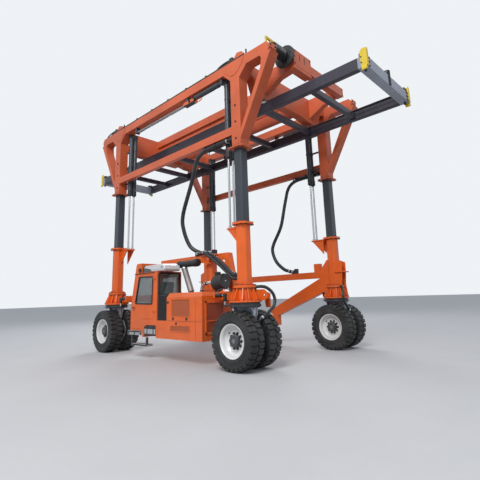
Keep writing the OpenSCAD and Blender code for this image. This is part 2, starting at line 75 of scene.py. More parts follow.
def stand_camera():
    data = bpy.data.cameras.new("camera")
    data.sensor_width, data.lens = SENSOR, SENSOR * FOCAL_PX / PHOTO_PX
    data.shift_y = (AXIS_ROW - PHOTO_PX / 2) / PHOTO_PX
    camera = bpy.data.objects.new("camera", data)
    camera.location = CAMERA_PLACE
    camera.rotation_euler = [math.radians(a) for a in CAMERA_TURN]
    scene.collection.objects.link(camera)
    scene.camera = camera
    scene.view_settings.view_transform = "Standard"
    print("camera at", CAMERA_PLACE)


stand_camera()

# %% [markdown]
# Shader maths reads best as plain arithmetic. `Wire` wraps one output socket, so
# that `1 - mask * 0.4` adds the Math nodes by itself. Any other node comes from
# `Tree.add`, which takes its type, its settings and what its sockets get.

# %% Shader arithmetic
def operator(operation, flipped=False):
    """A method that adds a Math node for two wires, or for a wire and a number."""
    def work(self, other):
        return self.math(operation, *((other, self) if flipped else (self, other)))
    return work


class Wire:
    """One output of a shader node, ready for arithmetic."""

    def __init__(self, tree, socket):
        self.tree, self.socket = tree, socket

    def math(self, operation, *values, clamp=False):
        return self.tree.add("Math", {"operation": operation, "use_clamp": clamp}, values)

    __add__ = __radd__ = operator("ADD")
    __mul__ = __rmul__ = operator("MULTIPLY")
    __sub__, __rsub__ = operator("SUBTRACT"), operator("SUBTRACT", True)
    __truediv__ = operator("DIVIDE")

    def clip(self):
        return self.math("ADD", self, 0, clamp=True)

    def step(self, low, high):
        """0 below low, 1 above high, smooth between."""
        ends = {"Value": self, "From Min": low, "From Max": high}
        return self.tree.add("MapRange", {"interpolation_type": "SMOOTHSTEP"}, ends)

    def blend(self, first, second):
        """A colour: first where this is 0 and second where it is 1."""
        return self.tree.add("Mix", {"data_type": "RGBA"}, {0: self, 6: first, 7: second}, out=2)

    def part(self, axis):
        return self.tree.add("SeparateXYZ", {}, {"Vector": self}, out="XYZ".index(axis))

    def stretch(self, x, y, z):
        return self.tree.add("VectorMath", {"operation": "MULTIPLY"}, {0: self, 1: (x, y, z)})


class Tree:
    """A material's node tree, from which finishes are wired."""

    def __init__(self, name):
        self.material = bpy.data.materials.new(name)
        self.material.use_nodes = True
        self.nodes, self.links = self.material.node_tree.nodes, self.material.node_tree.links
        self.nodes.clear()

    def add(self, kind, settings=(), inputs=(), out=0):
        node = self.nodes.new("ShaderNode" + kind)
        for key, value in dict(settings).items():
            setattr(node, key, value)
        for key, value in inputs.items() if isinstance(inputs, dict) else enumerate(inputs):
            if isinstance(value, Wire):
                self.links.new(value.socket, node.inputs[key])
            elif isinstance(value, tuple) and node.inputs[key].type == "RGBA":
                node.inputs[key].default_value = (*value, 1)
            else:
                node.inputs[key].default_value = value
        return Wire(self, node.outputs[out]) if len(node.outputs) else node

    def place(self):
        """Where a point is on the object, in metres, riding with it."""
        return self.add("TexCoord", out="Object")

    def noise(self, scale, detail=4, rough=0.55, where=None):
        inputs = {"Vector": where or self.place(), "Scale": scale, "Detail": detail, "Roughness": rough}
        return self.add("TexNoise", {}, inputs)

    def waves(self, place, scale, distortion, direction="X"):
        inputs = {"Vector": place, "Scale": scale, "Distortion": distortion}
        return self.add("TexWave", {"bands_direction": direction}, inputs, out=1)

    def bump(self, height, distance, strength=1.0, under=None):
        more = {"Normal": under} if under else {}
        return self.add("Bump", {}, {"Height": height, "Distance": distance, "Strength": strength, **more})

    def close(self, **sockets):
        """Ends the tree in one Principled shader. Sockets are named with _ for a space."""
        inputs = {key.replace("_", " "): value for key, value in sockets.items()}
        shader = self.add("BsdfPrincipled", {}, inputs)
        self.add("OutputMaterial", {}, {"Surface": shader})
        return self.material


print("shader helpers ready")

# %% [markdown]
# Every steel member is sprayed enamel. Up close it has orange peel, the tone drifts
# a little from panel to panel, dust lies on what faces up, rain has drawn faint
# runs down the sides and the splash of the yard sticks low down. Corners are
# rounded in the shader by a Bevel node, so the exact CAD stays as it is.

# %% Painted steel
DUST_TONE = (0.30, 0.27, 0.23)
SPLASH_HEIGHT = 1.9
SHADED = 0.80          # the darker tone of a colour that drifts
ROUND_BY = 0.006


def enamel(name, colour, rough=0.34, dust=0.22, grime=0.5, coat=0.16):
    paint = Tree(name)
    place = paint.place()
    facing = paint.add("NewGeometry", out="Normal").part("Z")
    drift = paint.noise(0.9, 3, where=place)
    runs = paint.noise(3.0, 4, where=place.stretch(3, 3, 0.25)).step(0.5, 0.72)
    speck = paint.noise(42, 3, 0.6, where=place)
    lies = facing.step(0.35, 0.95) * (0.35 + drift) * dust
    splash = (1 - place.part("Z").step(0.2, SPLASH_HEIGHT)) * speck.step(0.35, 0.75) * grime
    film = (lies + splash * 0.6 + runs * 0.10 * grime).clip()
    tone = drift.step(0.3, 0.7).blend(tuple(c * SHADED for c in colour), colour)
    soft = paint.add("Bevel", {"samples": 3}, {"Radius": ROUND_BY})
    peel = paint.noise(160, 2, where=place) * 0.6 + paint.noise(2.2, 2, where=place)
    return paint.close(Base_Color=film.blend(tone, DUST_TONE),
                       Roughness=(rough + film * 0.45 + speck * 0.08).clip(),
                       Coat_Weight=(coat - film * 0.3).clip(), Coat_Roughness=0.12,
                       Specular_IOR_Level=0.32, Normal=paint.bump(peel, 0.0012, 0.5, under=soft))


orange = enamel("orange_paint", (0.80, 0.128, 0.013))
# a paler, pinker orange for the top frame: painted sky reflection, with more dust
sky_pink_orange = enamel("sky_pink_orange_paint", (0.58, 0.112, 0.040), rough=0.40, dust=0.4, grime=0.4, coat=0.15)
slate = enamel("slate_paint", (0.040, 0.048, 0.060), rough=0.38, grime=0.3)
charcoal = enamel("charcoal_paint", (0.030, 0.033, 0.042), rough=0.36, dust=0.30)
arm_grey = enamel("arm_grey_paint", (0.40, 0.43, 0.50), rough=0.40, dust=0.2)
yellow = enamel("yellow_paint", (0.72, 0.52, 0.03), rough=0.42, dust=0.3, grime=0.3)
rim_white = enamel("white_paint", (0.80, 0.80, 0.78), dust=0.15, grime=0.35, coat=0.2)
black_steel = enamel("dark_metal", (0.020, 0.021, 0.024), rough=0.45, dust=0.25, grime=0.4, coat=0.1)
hub_grey = enamel("hub_grey_paint", (0.055, 0.058, 0.066), rough=0.42, dust=0.2, grime=0.3)
hub_pale = enamel("hub_pale_paint", (0.17, 0.175, 0.19), rough=0.42, dust=0.2, grime=0.3)
# a dark grey that paints shade low on the roof unit's near side
shell_shade_grey = enamel("shell_shade_paint", (0.10, 0.105, 0.11), rough=0.45)
steel_blue = enamel("steel_blue_paint", (0.28, 0.31, 0.37), rough=0.42, dust=0.2, grime=0.3)
rail_dark = enamel("rail_paint", (0.036, 0.033, 0.048), rough=0.40, dust=0.3, grime=0.3)
print("painted finishes:", [m.name for m in bpy.data.materials])

# %% [markdown]
# The bright parts are plain metal: hard chrome on the rods, zinc on the fasteners
# and pipes, and oiled chain. Fine lines run round a turned rod, and a little grease
# dulls it in bands. The colour hardly changes; roughness carries the look.

# %% Bare metal
def bare_metal(name, colour, rough, lines=(1, 1, 40), stain=0.3):
    metal = Tree(name)
    place = metal.place()
    turned = metal.noise(30, 3, where=place.stretch(*lines))
    blot = metal.noise(4, 4, where=place).step(0.45, 0.8) * stain
    return metal.close(Base_Color=blot.blend(colour, tuple(c * 0.55 for c in colour)), Metallic=1.0,
                       Roughness=(rough + turned * 0.12 + blot * 0.3).clip(),
                       Normal=metal.bump(turned, 0.0004, 0.4))


chrome = bare_metal("chrome_rod", (0.50, 0.51, 0.52), 0.16, stain=0.25)
zinc = bare_metal("zinc_plate", (0.55, 0.55, 0.56), 0.34, lines=(8, 8, 8))
chain_steel = bare_metal("chain_steel", (0.36, 0.36, 0.37), 0.42, lines=(9, 9, 9), stain=0.6)
pipe_steel = bare_metal("exhaust_pipe", (0.33, 0.31, 0.30), 0.55, lines=(3, 3, 3), stain=0.7)
tread_plate = bare_metal("tread_plate", (0.50, 0.51, 0.52), 0.36, lines=(5, 5, 5), stain=0.5)
print("bare metals:", chrome.name, zinc.name, chain_steel.name)

# %% [markdown]
# Rubber is never quite black: tyres carry grey dust in soft clouds and fine specks, and hoses have a soft
# sheen. Plastic is smoother with a fine grain, and glass is a thin tinted pane, so it is one clear shader
# with a little dust.

# %% Rubber, plastic and glass
def rubber(name, colour, rough, dust, grain=90):
    skin = Tree(name)
    place = skin.place()
    fine = skin.noise(grain, 4, 0.65, where=place)
    cloud = skin.noise(2.5, 4, where=place).step(0.35, 0.75)
    film = (cloud * dust + fine.step(0.5, 0.8) * dust * 0.6).clip()
    return skin.close(Base_Color=film.blend(colour, (0.13, 0.125, 0.12)),
                      Roughness=(rough + film * 0.3).clip(), Normal=skin.bump(fine, 0.0015, 0.5))


tyre_rubber = rubber("tyre_rubber", (0.010, 0.010, 0.011), 0.60, 0.26)
hose_rubber = rubber("hose_rubber", (0.014, 0.014, 0.016), 0.38, 0.12)
black_plastic = rubber("black_plastic", (0.020, 0.020, 0.022), 0.48, 0.10, grain=220)
roof_shell = rubber("white_shell", (0.60, 0.60, 0.60), 0.30, 0.10, grain=60)
seal_rubber = rubber("seal_rubber", (0.012, 0.012, 0.013), 0.55, 0.08)


def seat_cloth():
    cloth = Tree("seat_cloth")
    place = cloth.place()
    weave = cloth.waves(place, 160.0, 1.0) * cloth.waves(place, 160.0, 1.0, "Z")
    return cloth.close(Base_Color=weave.blend((0.025, 0.026, 0.030), (0.060, 0.062, 0.070)),
                       Roughness=0.9, Normal=cloth.bump(weave, 0.001, 0.6))


def pane():
    glass = Tree("cab_glass")
    dust = glass.noise(3.0, 4).step(0.4, 0.9)
    return glass.close(Base_Color=(0.10, 0.13, 0.13), Roughness=(0.04 + dust * 0.10),
                       Alpha=(0.42 + dust * 0.12), Coat_Weight=0.6, Coat_Roughness=0.03)


def lens():
    ribbed = Tree("clear_lens")
    ribs = ribbed.waves(ribbed.place(), 22.0, 0.0, "Z")
    return ribbed.close(Base_Color=(0.72, 0.74, 0.76), Roughness=0.12, Coat_Weight=0.8,
                        Coat_Roughness=0.04, Normal=ribbed.bump(ribs, 0.002, 0.4))


seat_fabric, cab_pane, clear_lens = seat_cloth(), pane(), lens()
print("materials so far:", len(bpy.data.materials))

# %% [markdown]
# The pierced sheets' holes are painted by arithmetic: a staggered grid of dark dots, pressed a little into
# the sheet. Then each CAD node gets the finish of its material slot, and the top frame gets a paler, pinker
# orange: a painted reflection of the sky, with a little more dust.

# %% Pierced sheets, and the finish of each CAD node
def mesh_panel(name, colour, pitch, across):
    """Round holes at a pitch, staggered. across names the two axes that the panel lies along."""
    sheet = Tree(name)
    place = sheet.place()
    u, v = place.part(across[0]) / pitch, place.part(across[1]) / (pitch * 0.87)
    row = v.math("FLOOR", v)
    u = u + row.math("MODULO", row, 2) * 0.5
    du, dv = u.math("FRACT", u) - 0.5, (v.math("FRACT", v) - 0.5) * 0.87
    far = du * du + dv * dv
    hole = 1 - far.math("SQRT", far).step(0.26, 0.34)
    dirt = sheet.noise(3, 4, where=place) * 0.3
    tone = hole.blend(dirt.blend(colour, tuple(c * 0.5 for c in colour)), (0.012, 0.010, 0.010))
    return sheet.close(Base_Color=tone, Roughness=(0.42 + hole * 0.4).clip(),
                       Normal=sheet.bump(1 - hole, 0.004, 0.8))


side_mesh = mesh_panel("side_mesh", (0.62, 0.125, 0.025), 0.026, "XZ")
end_mesh = mesh_panel("end_mesh", (0.55, 0.085, 0.02), 0.022, "YZ")
FINISH = {"orange_paint": orange, "slate_paint": slate, "chrome_rod": chrome, "cab_glass": cab_pane,
          "black_plastic": black_plastic, "white_shell": roof_shell, "dark_metal": black_steel,
          "grey_paint": tread_plate, "hoist_paint": slate, "chain_steel": chain_steel,
          "charcoal_paint": charcoal, "yellow_paint": yellow, "white_paint": rim_white,
          "tyre_rubber": tyre_rubber}
# the CAD nodes whose orange carries the painted sky reflection
SKY_PINK_NODES = {"side_beams", "upper_legs", "cross_frame", "end_beams"}


def dress_cad():
    for row in frame["record"]["subparts"]:
        mesh = NODE[row["node"]].data
        mesh.materials.clear()
        mesh.materials.append(sky_pink_orange if row["node"] in SKY_PINK_NODES else FINISH[row["material_slot"]])


dress_cad()

# %% [markdown]
# The room: one big pale floor, a soft sky for the fill and two large soft lamps.
# The key lamp stands high on the camera's side and the other lifts the far side.
# What the camera sees of the sky, straight, in gloss or through glass, is a pale
# sheet; only the rest of the rays get its gentle light.

# %% Room and lamps
def room():
    world = bpy.data.worlds.new("room")
    world.use_nodes = True
    tree, links = world.node_tree.nodes, world.node_tree.links
    tree.clear()
    path = tree.new("ShaderNodeLightPath")
    glimpsed = path.outputs["Is Camera Ray"]
    for other in ("Is Glossy Ray", "Is Transmission Ray"):
        either = tree.new("ShaderNodeMath")
        either.operation = "MAXIMUM"
        links.new(glimpsed, either.inputs[0])
        links.new(path.outputs[other], either.inputs[1])
        glimpsed = either.outputs[0]
    mix, end = tree.new("ShaderNodeMixShader"), tree.new("ShaderNodeOutputWorld")
    links.new(glimpsed, mix.inputs[0])
    for socket, colour, strength in ((1, (0.82, 0.88, 1.0, 1), 0.62), (2, (0.86, 0.89, 0.92, 1), 1.0)):
        sky = tree.new("ShaderNodeBackground")
        sky.inputs["Color"].default_value = colour
        sky.inputs["Strength"].default_value = strength
        links.new(sky.outputs[0], mix.inputs[socket])
    links.new(mix.outputs[0], end.inputs[0])
    scene.world = world


def soft_lamp(name, place, aim, size, watts):
    data = bpy.data.lights.new(name, "AREA")
    data.shape, data.size, data.energy = "DISK", size, watts
    lamp = bpy.data.objects.new(name, data)
    lamp.location = place
    lamp.rotation_euler = (Vector(aim) - Vector(place)).to_track_quat("-Z", "Y").to_euler()
    scene.collection.objects.link(lamp)


def pale_floor(half=150):
    floor = Tree("floor")
    mottle = floor.noise(0.7, 5) * 0.5 + floor.noise(9, 3) * 0.2
    mesh = bpy.data.meshes.new("floor")
    corners = [(-half, -half, 0), (half, -half, 0), (half, half, 0), (-half, half, 0)]
    mesh.from_pydata(corners, [], [(0, 1, 2, 3)])
    tone = mottle.blend((0.46, 0.46, 0.46), (0.58, 0.58, 0.575))
    mesh.materials.append(floor.close(Base_Color=tone, Roughness=0.85))
    ground = bpy.data.objects.new("floor", mesh)
    scene.collection.objects.link(ground)


room()
pale_floor()
soft_lamp("key_lamp", (9, -16, 17), (0, 0, 3), 11, 3600)
soft_lamp("far_lamp", (-13, 12, 14), (0, 0, 4), 10, 1600)
print("room and lamps made")

# %% [markdown]
# The small pieces are all made in mesh code. They start from outlines and paths: a smooth curve through given
# points, an outline drawn in by an equal distance, a circle of places, a rectangle and a mirrored form.

# %% Outlines and paths
UP, DOWN, ALONG, ACROSS, OUTWARD = (0, 0, 1), (0, 0, -1), (1, 0, 0), (0, 1, 0), (0, -1, 0)
SIDES = (-1, 1)


def smooth_path(points, each=6, closed=False):
    """A Catmull-Rom curve through the points, each of its spans cut in `each` steps."""
    knots = [Vector(p) for p in points]
    if closed:
        ends = knots[-1:] + knots + knots[:2]
    else:
        ends = [2 * knots[0] - knots[1]] + knots + [2 * knots[-1] - knots[-2]]
    path = []
    for a, b, c, d in zip(ends, ends[1:], ends[2:], ends[3:]):
        for k in range(each):
            t = k / each
            bend = (2 * a - 5 * b + 4 * c - d) * t ** 2 + (3 * b - a - 3 * c + d) * t ** 3
            path.append(0.5 * (2 * b + (c - a) * t + bend))
    return path if closed else path + [knots[-1]]


def corners_of(outline):
    """Each point of a closed outline between the two beside it."""
    return zip(outline[-1:] + outline[:-1], outline, outline[1:] + outline[:1])


def inset(outline, by):
    """The outline moved inwards by an equal distance, with mitred corners."""
    area = sum(a[0] * b[1] - b[0] * a[1] for a, b in zip(outline, outline[1:] + outline[:1]))
    moved = []
    for before, here, after in corners_of(outline):
        a = (Vector(here) - Vector(before)).normalized()
        b = (Vector(after) - Vector(here)).normalized()
        reach = math.copysign(by, area) / max(0.3, 1 + a.dot(b))
        moved.append((here[0] - (a.y + b.y) * reach, here[1] + (a.x + b.x) * reach))
    return moved


def circle(count, radius, turn=0.0, middle=(0, 0)):
    """Points round a circle. turn shifts them by a share of their spacing."""
    turns = [math.tau * (k + turn) / count for k in range(count)]
    return [(middle[0] + radius * math.cos(a), middle[1] + radius * math.sin(a)) for a in turns]


def rect(u0, v0, u1, v1):
    """The corners of a rectangle."""
    return [(u0, v0), (u1, v0), (u1, v1), (u0, v1)]


def mirrored(half):
    """A symmetrical outline from the half of it that lies at positive u."""
    other = [(-u, v) for u, v in half]
    return other[:1] + half + other[:0:-1]


print("outlines and paths ready")

# %% [markdown]
# The pieces share a few kinds of shape: a bar with broken edges, a plate cut to an
# outline, a turned part, a ring, a bent tube and a bolt. A bench collects such shapes
# into one mesh. `seat` is the matrix that carries what is made next, so a leg's
# fittings are written once and set four times.

# %% The bench
class Bench:
    """Collects shapes into one mesh, each with its own finish."""

    def __init__(self, seat=None):
        self.points, self.faces, self.tints, self.finishes = [], [], [], []
        self.seat = seat or Matrix.Identity(4)

    def add(self, points, faces, finish, seat=None):
        seat = self.seat @ seat if seat else self.seat
        if finish not in self.finishes:
            self.finishes.append(finish)
        start = len(self.points)
        self.points += [seat @ Vector(p) for p in points]
        self.faces += [[start + k for k in face] for face in faces]
        self.tints += [self.finishes.index(finish)] * len(faces)

    def skin(self, rings, finish, closed=False, caps=True, seat=None):
        """A skin over rings of equal length, closed at its ends by caps."""
        sides, count = len(rings[0]), len(rings)
        faces = []
        for i in range(count if closed else count - 1):
            a, b = i * sides, (i + 1) % count * sides
            faces += [[a + k, a + (k + 1) % sides, b + (k + 1) % sides, b + k] for k in range(sides)]
        if caps and not closed:
            faces += [list(range(sides)), list(range((count - 1) * sides, count * sides))]
        self.add([p for ring in rings for p in ring], faces, finish, seat)

    def plate(self, outline, low, high, finish, plane="XZ", edge=0.003, seat=None):
        """A plate cut to an outline that lies in a plane, from low to high across it."""
        low, high = sorted((low, high))
        edge = min(edge, (high - low) * 0.4)
        one, two = ("XYZ".index(a) for a in plane)
        rings = []
        for by, depth in ((edge, low), (0, low + edge), (0, high - edge), (edge, high)):
            ring = []
            for u, v in inset(outline, by):
                p = [depth] * 3
                p[one], p[two] = u, v
                ring.append(p)
            rings.append(ring)
        self.skin(rings, finish, seat=seat)

    def bar(self, low, high, finish, edge=0.004):
        """A box with broken edges."""
        (x0, x1), (y0, y1), (z0, z1) = (sorted(pair) for pair in zip(low, high))
        e = min(edge, (x1 - x0) * 0.3, (y1 - y0) * 0.3, (z1 - z0) * 0.3)
        outline = [(x0, y0 + e), (x0 + e, y0), (x1 - e, y0), (x1, y0 + e),
                   (x1, y1 - e), (x1 - e, y1), (x0 + e, y1), (x0, y1 - e)]
        self.plate(outline, z0, z1, finish, "XY", e)

    def turned(self, profile, finish, start=(0, 0, 0), along=UP, sides=32, caps=True):
        """A profile of (distance along, radius) turned round an axis."""
        seat = Vector(along).to_track_quat("Z", "Y").to_matrix().to_4x4()
        seat.translation = Vector(start)
        rings = [[(x, y, far) for x, y in circle(sides, radius)] for far, radius in profile]
        self.skin(rings, finish, caps=caps, seat=seat)

    def rod(self, start, end, radius, finish, edge=0.003, sides=20):
        far, edge = (Vector(end) - Vector(start)).length, min(edge, radius * 0.5)
        profile = [(0, radius - edge), (edge, radius), (far - edge, radius), (far, radius - edge)]
        self.turned(profile, finish, start, Vector(end) - Vector(start), sides)

    def band(self, middle, along, length, radii, finish, sides=36, lip=0.004, caps=True):
        """A ring round a turned part, from its inner to its outer radius over a short slope."""
        half, (inner, outer) = length / 2, radii
        profile = [(-half, inner), (lip - half, outer), (half - lip, outer), (half, inner)]
        self.turned(profile, finish, middle, along, sides, caps)

    def tube(self, points, radius, finish, sides=12, each=6, closed=False, wrap=0.0):
        """A round tube along a smooth path. wrap swells every other ring, as a guard spiral does."""
        path = smooth_path(points, each, closed) if each > 1 else [Vector(p) for p in points]
        across, rings = None, []
        for i, here in enumerate(path):
            after = path[(i + 1) % len(path)] if closed or i + 1 < len(path) else here
            before = path[i - 1] if closed or i else here
            way = (after - before).normalized()
            across = across or way.orthogonal()
            across = (across - way * across.dot(way)).normalized()
            other = way.cross(across)
            ring = circle(sides, radius * (1 + wrap * (i % 2)))
            rings.append([here + across * u + other * v for u, v in ring])
        self.skin(rings, finish, closed)

    def bolt(self, place, out, across=0.030, finish=None, washer=True):
        """A hexagon head on a washer, its shank's axis along `out`."""
        r = across / 1.732
        finish = finish or black_steel
        if washer:
            self.turned([(0, r * 1.45), (r * 0.16, r * 1.45), (r * 0.22, r * 1.3)], finish, place, out, 14)
        self.turned([(r * 0.2, r), (r, r), (r * 1.2, r * 0.82)], finish, place, out, 6)

    def bolts(self, xs, ys, zs, *how):
        """A bolt at each meeting of the three rows of places."""
        for place in product(xs, ys, zs):
            self.bolt(place, *how)

    def make(self, name, body, crease=32, stands_for=None, bends=None):
        """Ends the mesh as a piece that rides on a body. When bends is given, it is left fixed in place and
        rides on no body.
        """
        mesh = bpy.data.meshes.new(name)
        mesh.from_pydata([tuple(p) for p in self.points], [], self.faces)
        for finish in self.finishes:
            mesh.materials.append(finish)
        mesh.polygons.foreach_set("material_index", self.tints)
        mesh.polygons.foreach_set("use_smooth", [True] * len(self.faces))
        steel = bmesh.new()
        steel.from_mesh(mesh)
        bmesh.ops.recalc_face_normals(steel, faces=steel.faces)
        steel.to_mesh(mesh)
        steel.free()
        mesh.set_sharp_from_angle(angle=math.radians(crease))
        piece = bpy.data.objects.new(name, mesh)
        scene.collection.objects.link(piece)
        if bends:
            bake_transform(piece)
        else:
            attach(piece, body)
        if stands_for:
            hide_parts(stands_for)
        print(f"{name}: {len(self.points)} points, {len(self.faces)} faces, on {body}")
        return piece


LEGS = {"nl": (-1, -1), "nr": (1, -1), "fl": (-1, 1), "fr": (1, 1)}
LEG_X, LEG_Y, AXLE_Z = 2.95, 2.05, 0.65


def leg_seat(leg):
    """Carries a leg's fittings: x outwards along the machine, y outwards across it."""
    sx, sy = LEGS[leg]
    return Matrix.Translation((sx * LEG_X, sy * LEG_Y, 0)) @ Matrix.Diagonal((sx, sy, 1, 1))


def chassis_of(leg):
    return "chassis_near" if leg[0] == "n" else "chassis_far"


print("bench ready for legs", list(LEGS))

# %% [markdown]
# Thick wrapped hoses hang between the lifting frame and the chassis. They shorten as the lift goes down; here
# each is a fixed tube, left in place where it is made. Two ribbed ducts run on from the tray to the near leg,
# beside each other on the tray and one under the other at the leg. The guard spiral is the tube's own rings.

# %% Lift hoses and ducts
TIE_Y, HOSE_RADIUS, DUCT_RADIUS = 2.13, 0.056, 0.042
NEAR_ROUTE = [(2.79, -2.13, 5.555), (2.60, -2.13, 5.556), (2.28, -2.13, 5.558), (1.95, -2.13, 5.555),
              (1.65, -2.13, 5.53), (1.42, -2.13, 5.43), (1.27, -2.12, 5.25), (1.17, -2.10, 5.02),
              (0.95, -2.04, 4.70), (0.43, -1.90, 3.99), (0.36, -1.82, 3.56), (0.48, -1.68, 3.08),
              (0.78, -1.54, 2.865), (1.00, -1.52, 2.835), (1.20, -1.52, 2.815), (1.37, -1.52, 2.787)]
FAR_ROUTE = [(2.79, 2.13, 5.555), (2.60, 2.13, 5.556), (2.28, 2.13, 5.558), (1.95, 2.13, 5.555),
             (1.65, 2.13, 5.53), (1.42, 2.13, 5.43), (1.28, 2.13, 5.25), (1.21, 2.12, 5.02),
             (1.13, 2.10, 4.70), (0.96, 2.05, 3.99), (0.62, 2.02, 3.40), (0.57, 2.01, 3.12),
             (0.72, 2.01, 2.76), (1.02, 2.01, 2.49), (1.24, 2.01, 2.405), (1.40, 2.01, 2.362),
             (1.56, 2.01, 2.328)]
DUCT_ROUTES = [
    [(0.83, -1.66, 2.788), (0.92, -1.66, 2.796), (1.06, -1.68, 2.805), (1.30, -1.79, 2.815),
     (1.60, -1.81, 2.69), (1.91, -1.82, 2.50), (2.23, -1.89, 2.30), (2.56, -2.007, 2.14),
     (2.68, -2.007, 2.13), (2.792, -2.007, 2.13)],
    [(0.83, -1.75, 2.788), (0.92, -1.75, 2.796), (1.06, -1.77, 2.805), (1.30, -1.8755, 2.8058),
     (1.60, -1.864, 2.621), (1.91, -1.847, 2.408), (2.23, -1.908, 2.208), (2.56, -2.025, 2.048),
     (2.68, -2.025, 2.038), (2.792, -2.025, 2.038)]]


def wrapped_hose(name, route, radius, turns, wrap, body, bends=None):
    """A hose along a route."""
    bench = Bench()
    bench.tube(route, radius, hose_rubber, 16, turns, wrap=wrap)
    hose = bench.make(name, body, 50, bends=bends)


for side, route, foot, head in (("near", NEAR_ROUTE, (1.3, -1.52, 2.95), (1.2, -2.1, 5.0)),
                                ("far", FAR_ROUTE, (1.5, 2.01, 2.52), (1.2, 2.1, 5.0))):
    bends = ("top_frame", foot, head)
    wrapped_hose(f"{side}_lift_hose", route, HOSE_RADIUS, 12, 0.06, f"chassis_{side}", bends)
for k, route in enumerate(DUCT_ROUTES):
    wrapped_hose(f"tray_duct_{k + 1}", route, DUCT_RADIUS, 10, 0.08, "chassis_near")

# %% [markdown]
# Steel clamps hold all the ends, and black blocks take them in. Two thin cables lie
# beside the ducts. Under each tie, thinner hoses run beside the thick one, held by
# flat straps.

# %% Hose ends
DUCT_CLAMPS = [  # x, then y and z on the first and on the second duct, and the way they run
    (0.90, (-1.66, 2.803), (-1.75, 2.803), (1, 0, 0)),
    (1.29, (-1.785, 2.815), (-1.8705, 2.8058), (1, -0.4, -0.1)),
    (1.60, (-1.81, 2.69), (-1.864, 2.621), (1, 0, -0.5)),
    (2.60, (-2.007, 2.136), (-2.025, 2.044), (1, 0, -0.1)),
    (2.76, (-2.007, 2.13), (-2.025, 2.038), (1, 0, 0))]
CABLE_ROUTE = [(0.72, 0.06, 2.772), (1.0, 0, 2.772), (1.38, -0.02, 2.772), (1.62, -0.05, 2.68),
               (1.95, -0.08, 2.46), (2.30, -0.20, 2.22), (2.60, -0.32, 2.075), (2.79, -0.33, 2.06)]


def ring_clamp(bench, place, along, radius, finish=None):
    """A steel band round a hose."""
    bench.band(place, along, 0.040, (radius, radius + 0.006), finish or zinc, 28, 0.003)


def tray_ends():
    bench = Bench()
    bench.bar((0.78, -1.74, 2.7605), (0.86, -1.625, 2.87), black_steel, 0.008)
    bench.bar((1.29, -1.59, 2.7605), (1.39, -1.45, 2.90), black_steel, 0.008)
    for x, z in ((1.12, 2.823), (1.23, 2.812)):
        ring_clamp(bench, (x, -1.52, z), (1, 0, -0.1), HOSE_RADIUS + 0.004)
    for x, first, second, along in DUCT_CLAMPS:
        for y, z in (first, second):
            steel = black_steel if x > 1.5 else zinc
            ring_clamp(bench, (x, y, z), along, DUCT_RADIUS + 0.002, steel)
    for y, tint in ((-1.625, orange), (-1.605, black_steel)):
        bench.tube([(x, y + beside, z) for x, beside, z in CABLE_ROUTE], 0.010, tint, 8)
    bench.make("tray_hose_ends", "chassis_near")


def far_end():
    bench = Bench()
    bench.bar((1.48, 1.961, 2.3005), (1.60, 2.07, 2.46), black_steel, 0.008)
    for x, z in ((1.27, 2.397), (1.40, 2.362)):
        ring_clamp(bench, (x, 2.01, z), (1, 0, -0.25), HOSE_RADIUS + 0.004)
    bench.make("far_hose_end", "chassis_far")


def tie_hoses():
    bench = Bench()
    for s in SIDES:
        for y, z in ((2.025, 5.575), (2.045, 5.515)):
            route = ((1.62, z + 0.03), (1.80, z), (2.12, z - 0.010), (2.28, z + 0.01), (2.335, 5.634))
            bench.tube([(x, s * y, up) for x, up in route], 0.024, hose_rubber, 10, 6, wrap=0.05)
        for x in (1.72, 2.12, 2.55):
            bench.bar((x, s * 1.99, 5.614), (x + 0.05, s * 2.198, 5.6295), black_steel)
            steel = zinc if x > 2.5 else black_steel
            ring_clamp(bench, (x + 0.025, s * TIE_Y, 5.553), ALONG, HOSE_RADIUS + 0.004, steel)
    bench.make("tie_hoses", "top_frame", 40)


tray_ends()
far_end()
tie_hoses()

# %% [markdown]
# Port tyres have two rows of large blocks with a zigzag groove between them, and
# the blocks run down over the shoulder. A displaced torus would melt the edges, so
# the carcass is turned from its profile and each block is lofted over it: stations
# from the middle groove to the sidewall, each with a left and a right edge.

# %% Tyres
WHEEL_Y = 0.305        # from a leg's axis to the middle of each twin tyre
PITCHES = 28
GROOVE_RADIUS = 0.612
STATIONS = [  # distance from the tyre's middle, height above the axle, half length of the block in pitches
    (0.018, 0.645, 0.10), (0.022, 0.649, 0.14), (0.042, 0.6495, 0.385), (0.150, 0.6475, 0.385),
    (0.184, 0.641, 0.375), (0.1985, 0.628, 0.36), (0.2025, 0.600, 0.33), (0.2010, 0.572, 0.28)]
CARCASS = [  # distance from the middle and radius, from the bead to the groove
    (-0.150, 0.3715), (-0.172, 0.384), (-0.188, 0.408), (-0.1975, 0.430), (-0.2005, 0.436),
    (-0.1980, 0.442), (-0.2000, 0.480), (-0.1990, 0.548), (-0.2015, 0.555), (-0.1965, 0.562),
    (-0.190, 0.590), (-0.168, 0.606), (-0.120, 0.615), (0, 0.618)]


def tread_block(bench, middle, turn, side):
    pitch, points, count = math.tau / PITCHES, [], len(STATIONS)
    for v, r, half in STATIONS:
        floor = min(r - 0.005, GROOVE_RADIUS if v < 0.15 else 0.598 - (v - 0.15) * 0.9)
        a, bevel = half * pitch, 0.0045 / r
        edge = [(a + 0.004, floor), (a, r - 0.004), (a - bevel, r)]
        for angle, radius in [(-t, r) for t, r in edge] + [(0, r)] + edge[::-1]:
            t = turn + angle
            points.append((math.sin(t) * radius, middle + side * v, math.cos(t) * radius))
    quads = product(range(count - 1), range(6))
    faces = [[7 * i + k, 7 * i + k + 1, 7 * i + k + 8, 7 * i + k + 7] for i, k in quads]
    faces += [[6, 5, 4, 3, 2, 1, 0], [7 * (count - 1) + k for k in range(7)]]
    bench.add(points, faces if side > 0 else [f[::-1] for f in faces], tyre_rubber)


